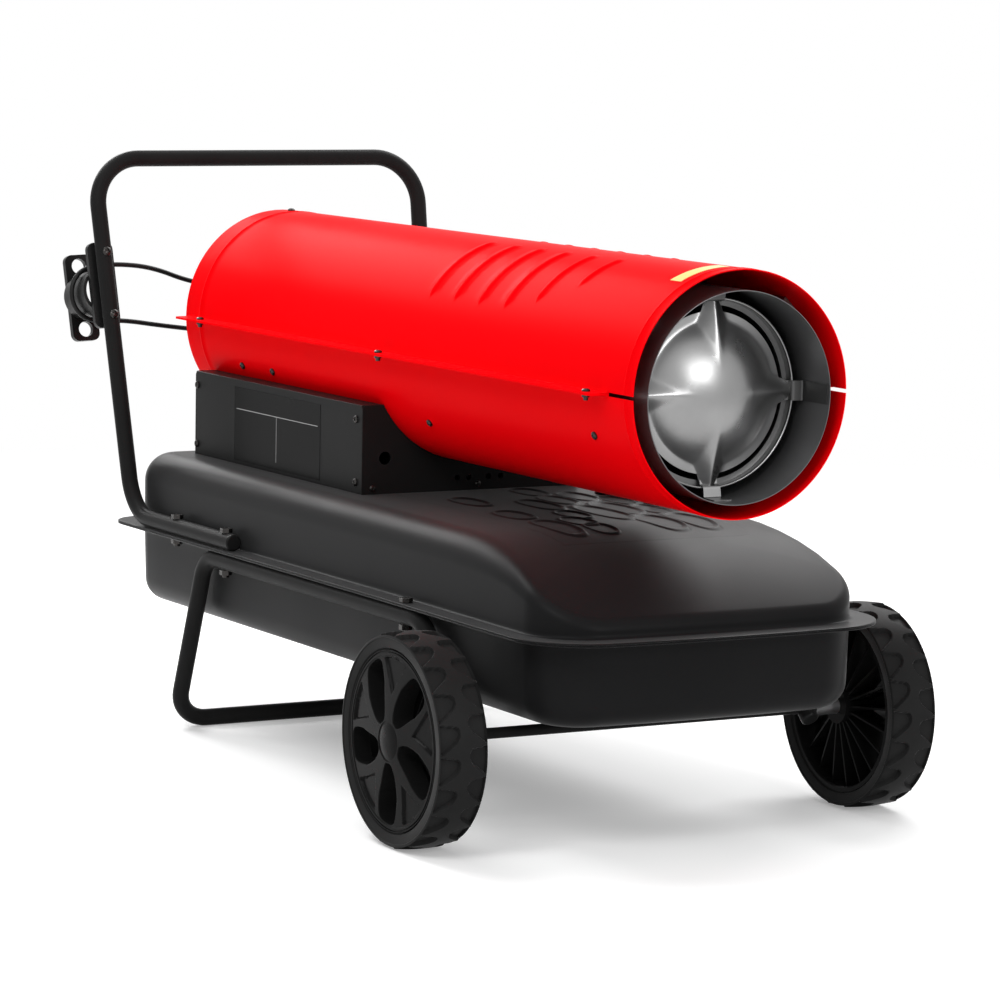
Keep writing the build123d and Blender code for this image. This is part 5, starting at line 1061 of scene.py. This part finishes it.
def makeStage(s):
    # a pale floor that is lifted and, with distance, fades to white only where it is seen or reflected;
    # the world is white there too and lights with its ambient share
    half = s["half"]
    data = bpy.data.meshes.new("floor")
    corners = [(-half, -half, 0), (half, -half, 0), (half, half, 0), (-half, half, 0)]
    data.from_pydata(corners, [], [(0, 1, 2, 3)])
    placeObject("floor", data)
    material = bpy.data.materials.new("paleFloor")
    material.use_nodes = True
    tree = material.node_tree
    tree.nodes.clear()
    out, add = addNode(tree, "OutputMaterial"), addNode(tree, "AddShader")
    ray, place = addNode(tree, "LightPath"), addNode(tree, "TexCoord")
    seen, far = addNode(tree, "MixShader"), addNode(tree, "MixShader")
    matt = addNode(tree, "BsdfDiffuse", {"Color": rgba(s["floorColor"])})
    lift = addNode(tree, "Emission", {"Strength": s["floorLift"]})
    white = addNode(tree, "Emission", {"Strength": 1.0})
    reach = addNode(tree, "VectorMath", operation="LENGTH")
    fade = addNode(tree, "MapRange", {"From Min": s["fadeStart"], "From Max": s["fadeEnd"]})
    either = addNode(tree, "Math", operation="MAXIMUM")
    both = addNode(tree, "Math", operation="MULTIPLY")
    linkNodes(tree, (ray, "Is Camera Ray", either, 0), (ray, "Is Glossy Ray", either, 1),
              (place, "Object", reach, 0), (reach, "Value", fade, "Value"), (fade, "Result", both, 0),
              (either, "Value", both, 1), (matt, "BSDF", add, 0), (lift, "Emission", add, 1),
              (either, "Value", seen, "Fac"), (matt, "BSDF", seen, 1), (add, "Shader", seen, 2),
              (both, "Value", far, "Fac"), (seen, "Shader", far, 1), (white, "Emission", far, 2),
              (far, "Shader", out, "Surface"))
    data.materials.append(material)
    world = bpy.data.worlds.new("studio")
    world.use_nodes = True
    tree = world.node_tree
    sky = tree.nodes["Background"]
    sky.inputs["Color"].default_value = rgba(1.0)
    ray = addNode(tree, "LightPath")
    either, third = (addNode(tree, "Math", operation="MAXIMUM") for _ in range(2))
    level = addNode(tree, "MapRange", {"To Min": s["ambient"], "To Max": 1.0})
    linkNodes(tree, (ray, "Is Camera Ray", either, 0), (ray, "Is Glossy Ray", either, 1),
              (either, "Value", third, 0), (ray, "Is Transmission Ray", third, 1),
              (third, "Value", level, "Value"), (level, "Result", sky, "Strength"))
    bpy.context.scene.world = world


def makeLamp(s):
    # a rectangular lamp that faces its aim
    data = bpy.data.lights.new(s["name"], "AREA")
    data.shape, data.size, data.size_y, data.energy = "RECTANGLE", *s["size"], s["power"]
    lamp = placeObject(s["name"], data)
    lamp.location = s["place"]
    lamp.rotation_euler = (Vector(s["aim"]) - Vector(s["place"])).to_track_quat("-Z", "Y").to_euler()


makeStage(stageSettings)
for settings in lampSettings:
    makeLamp(settings)
bpy.context.scene.view_settings.view_transform = "Standard"
print("stage lit")
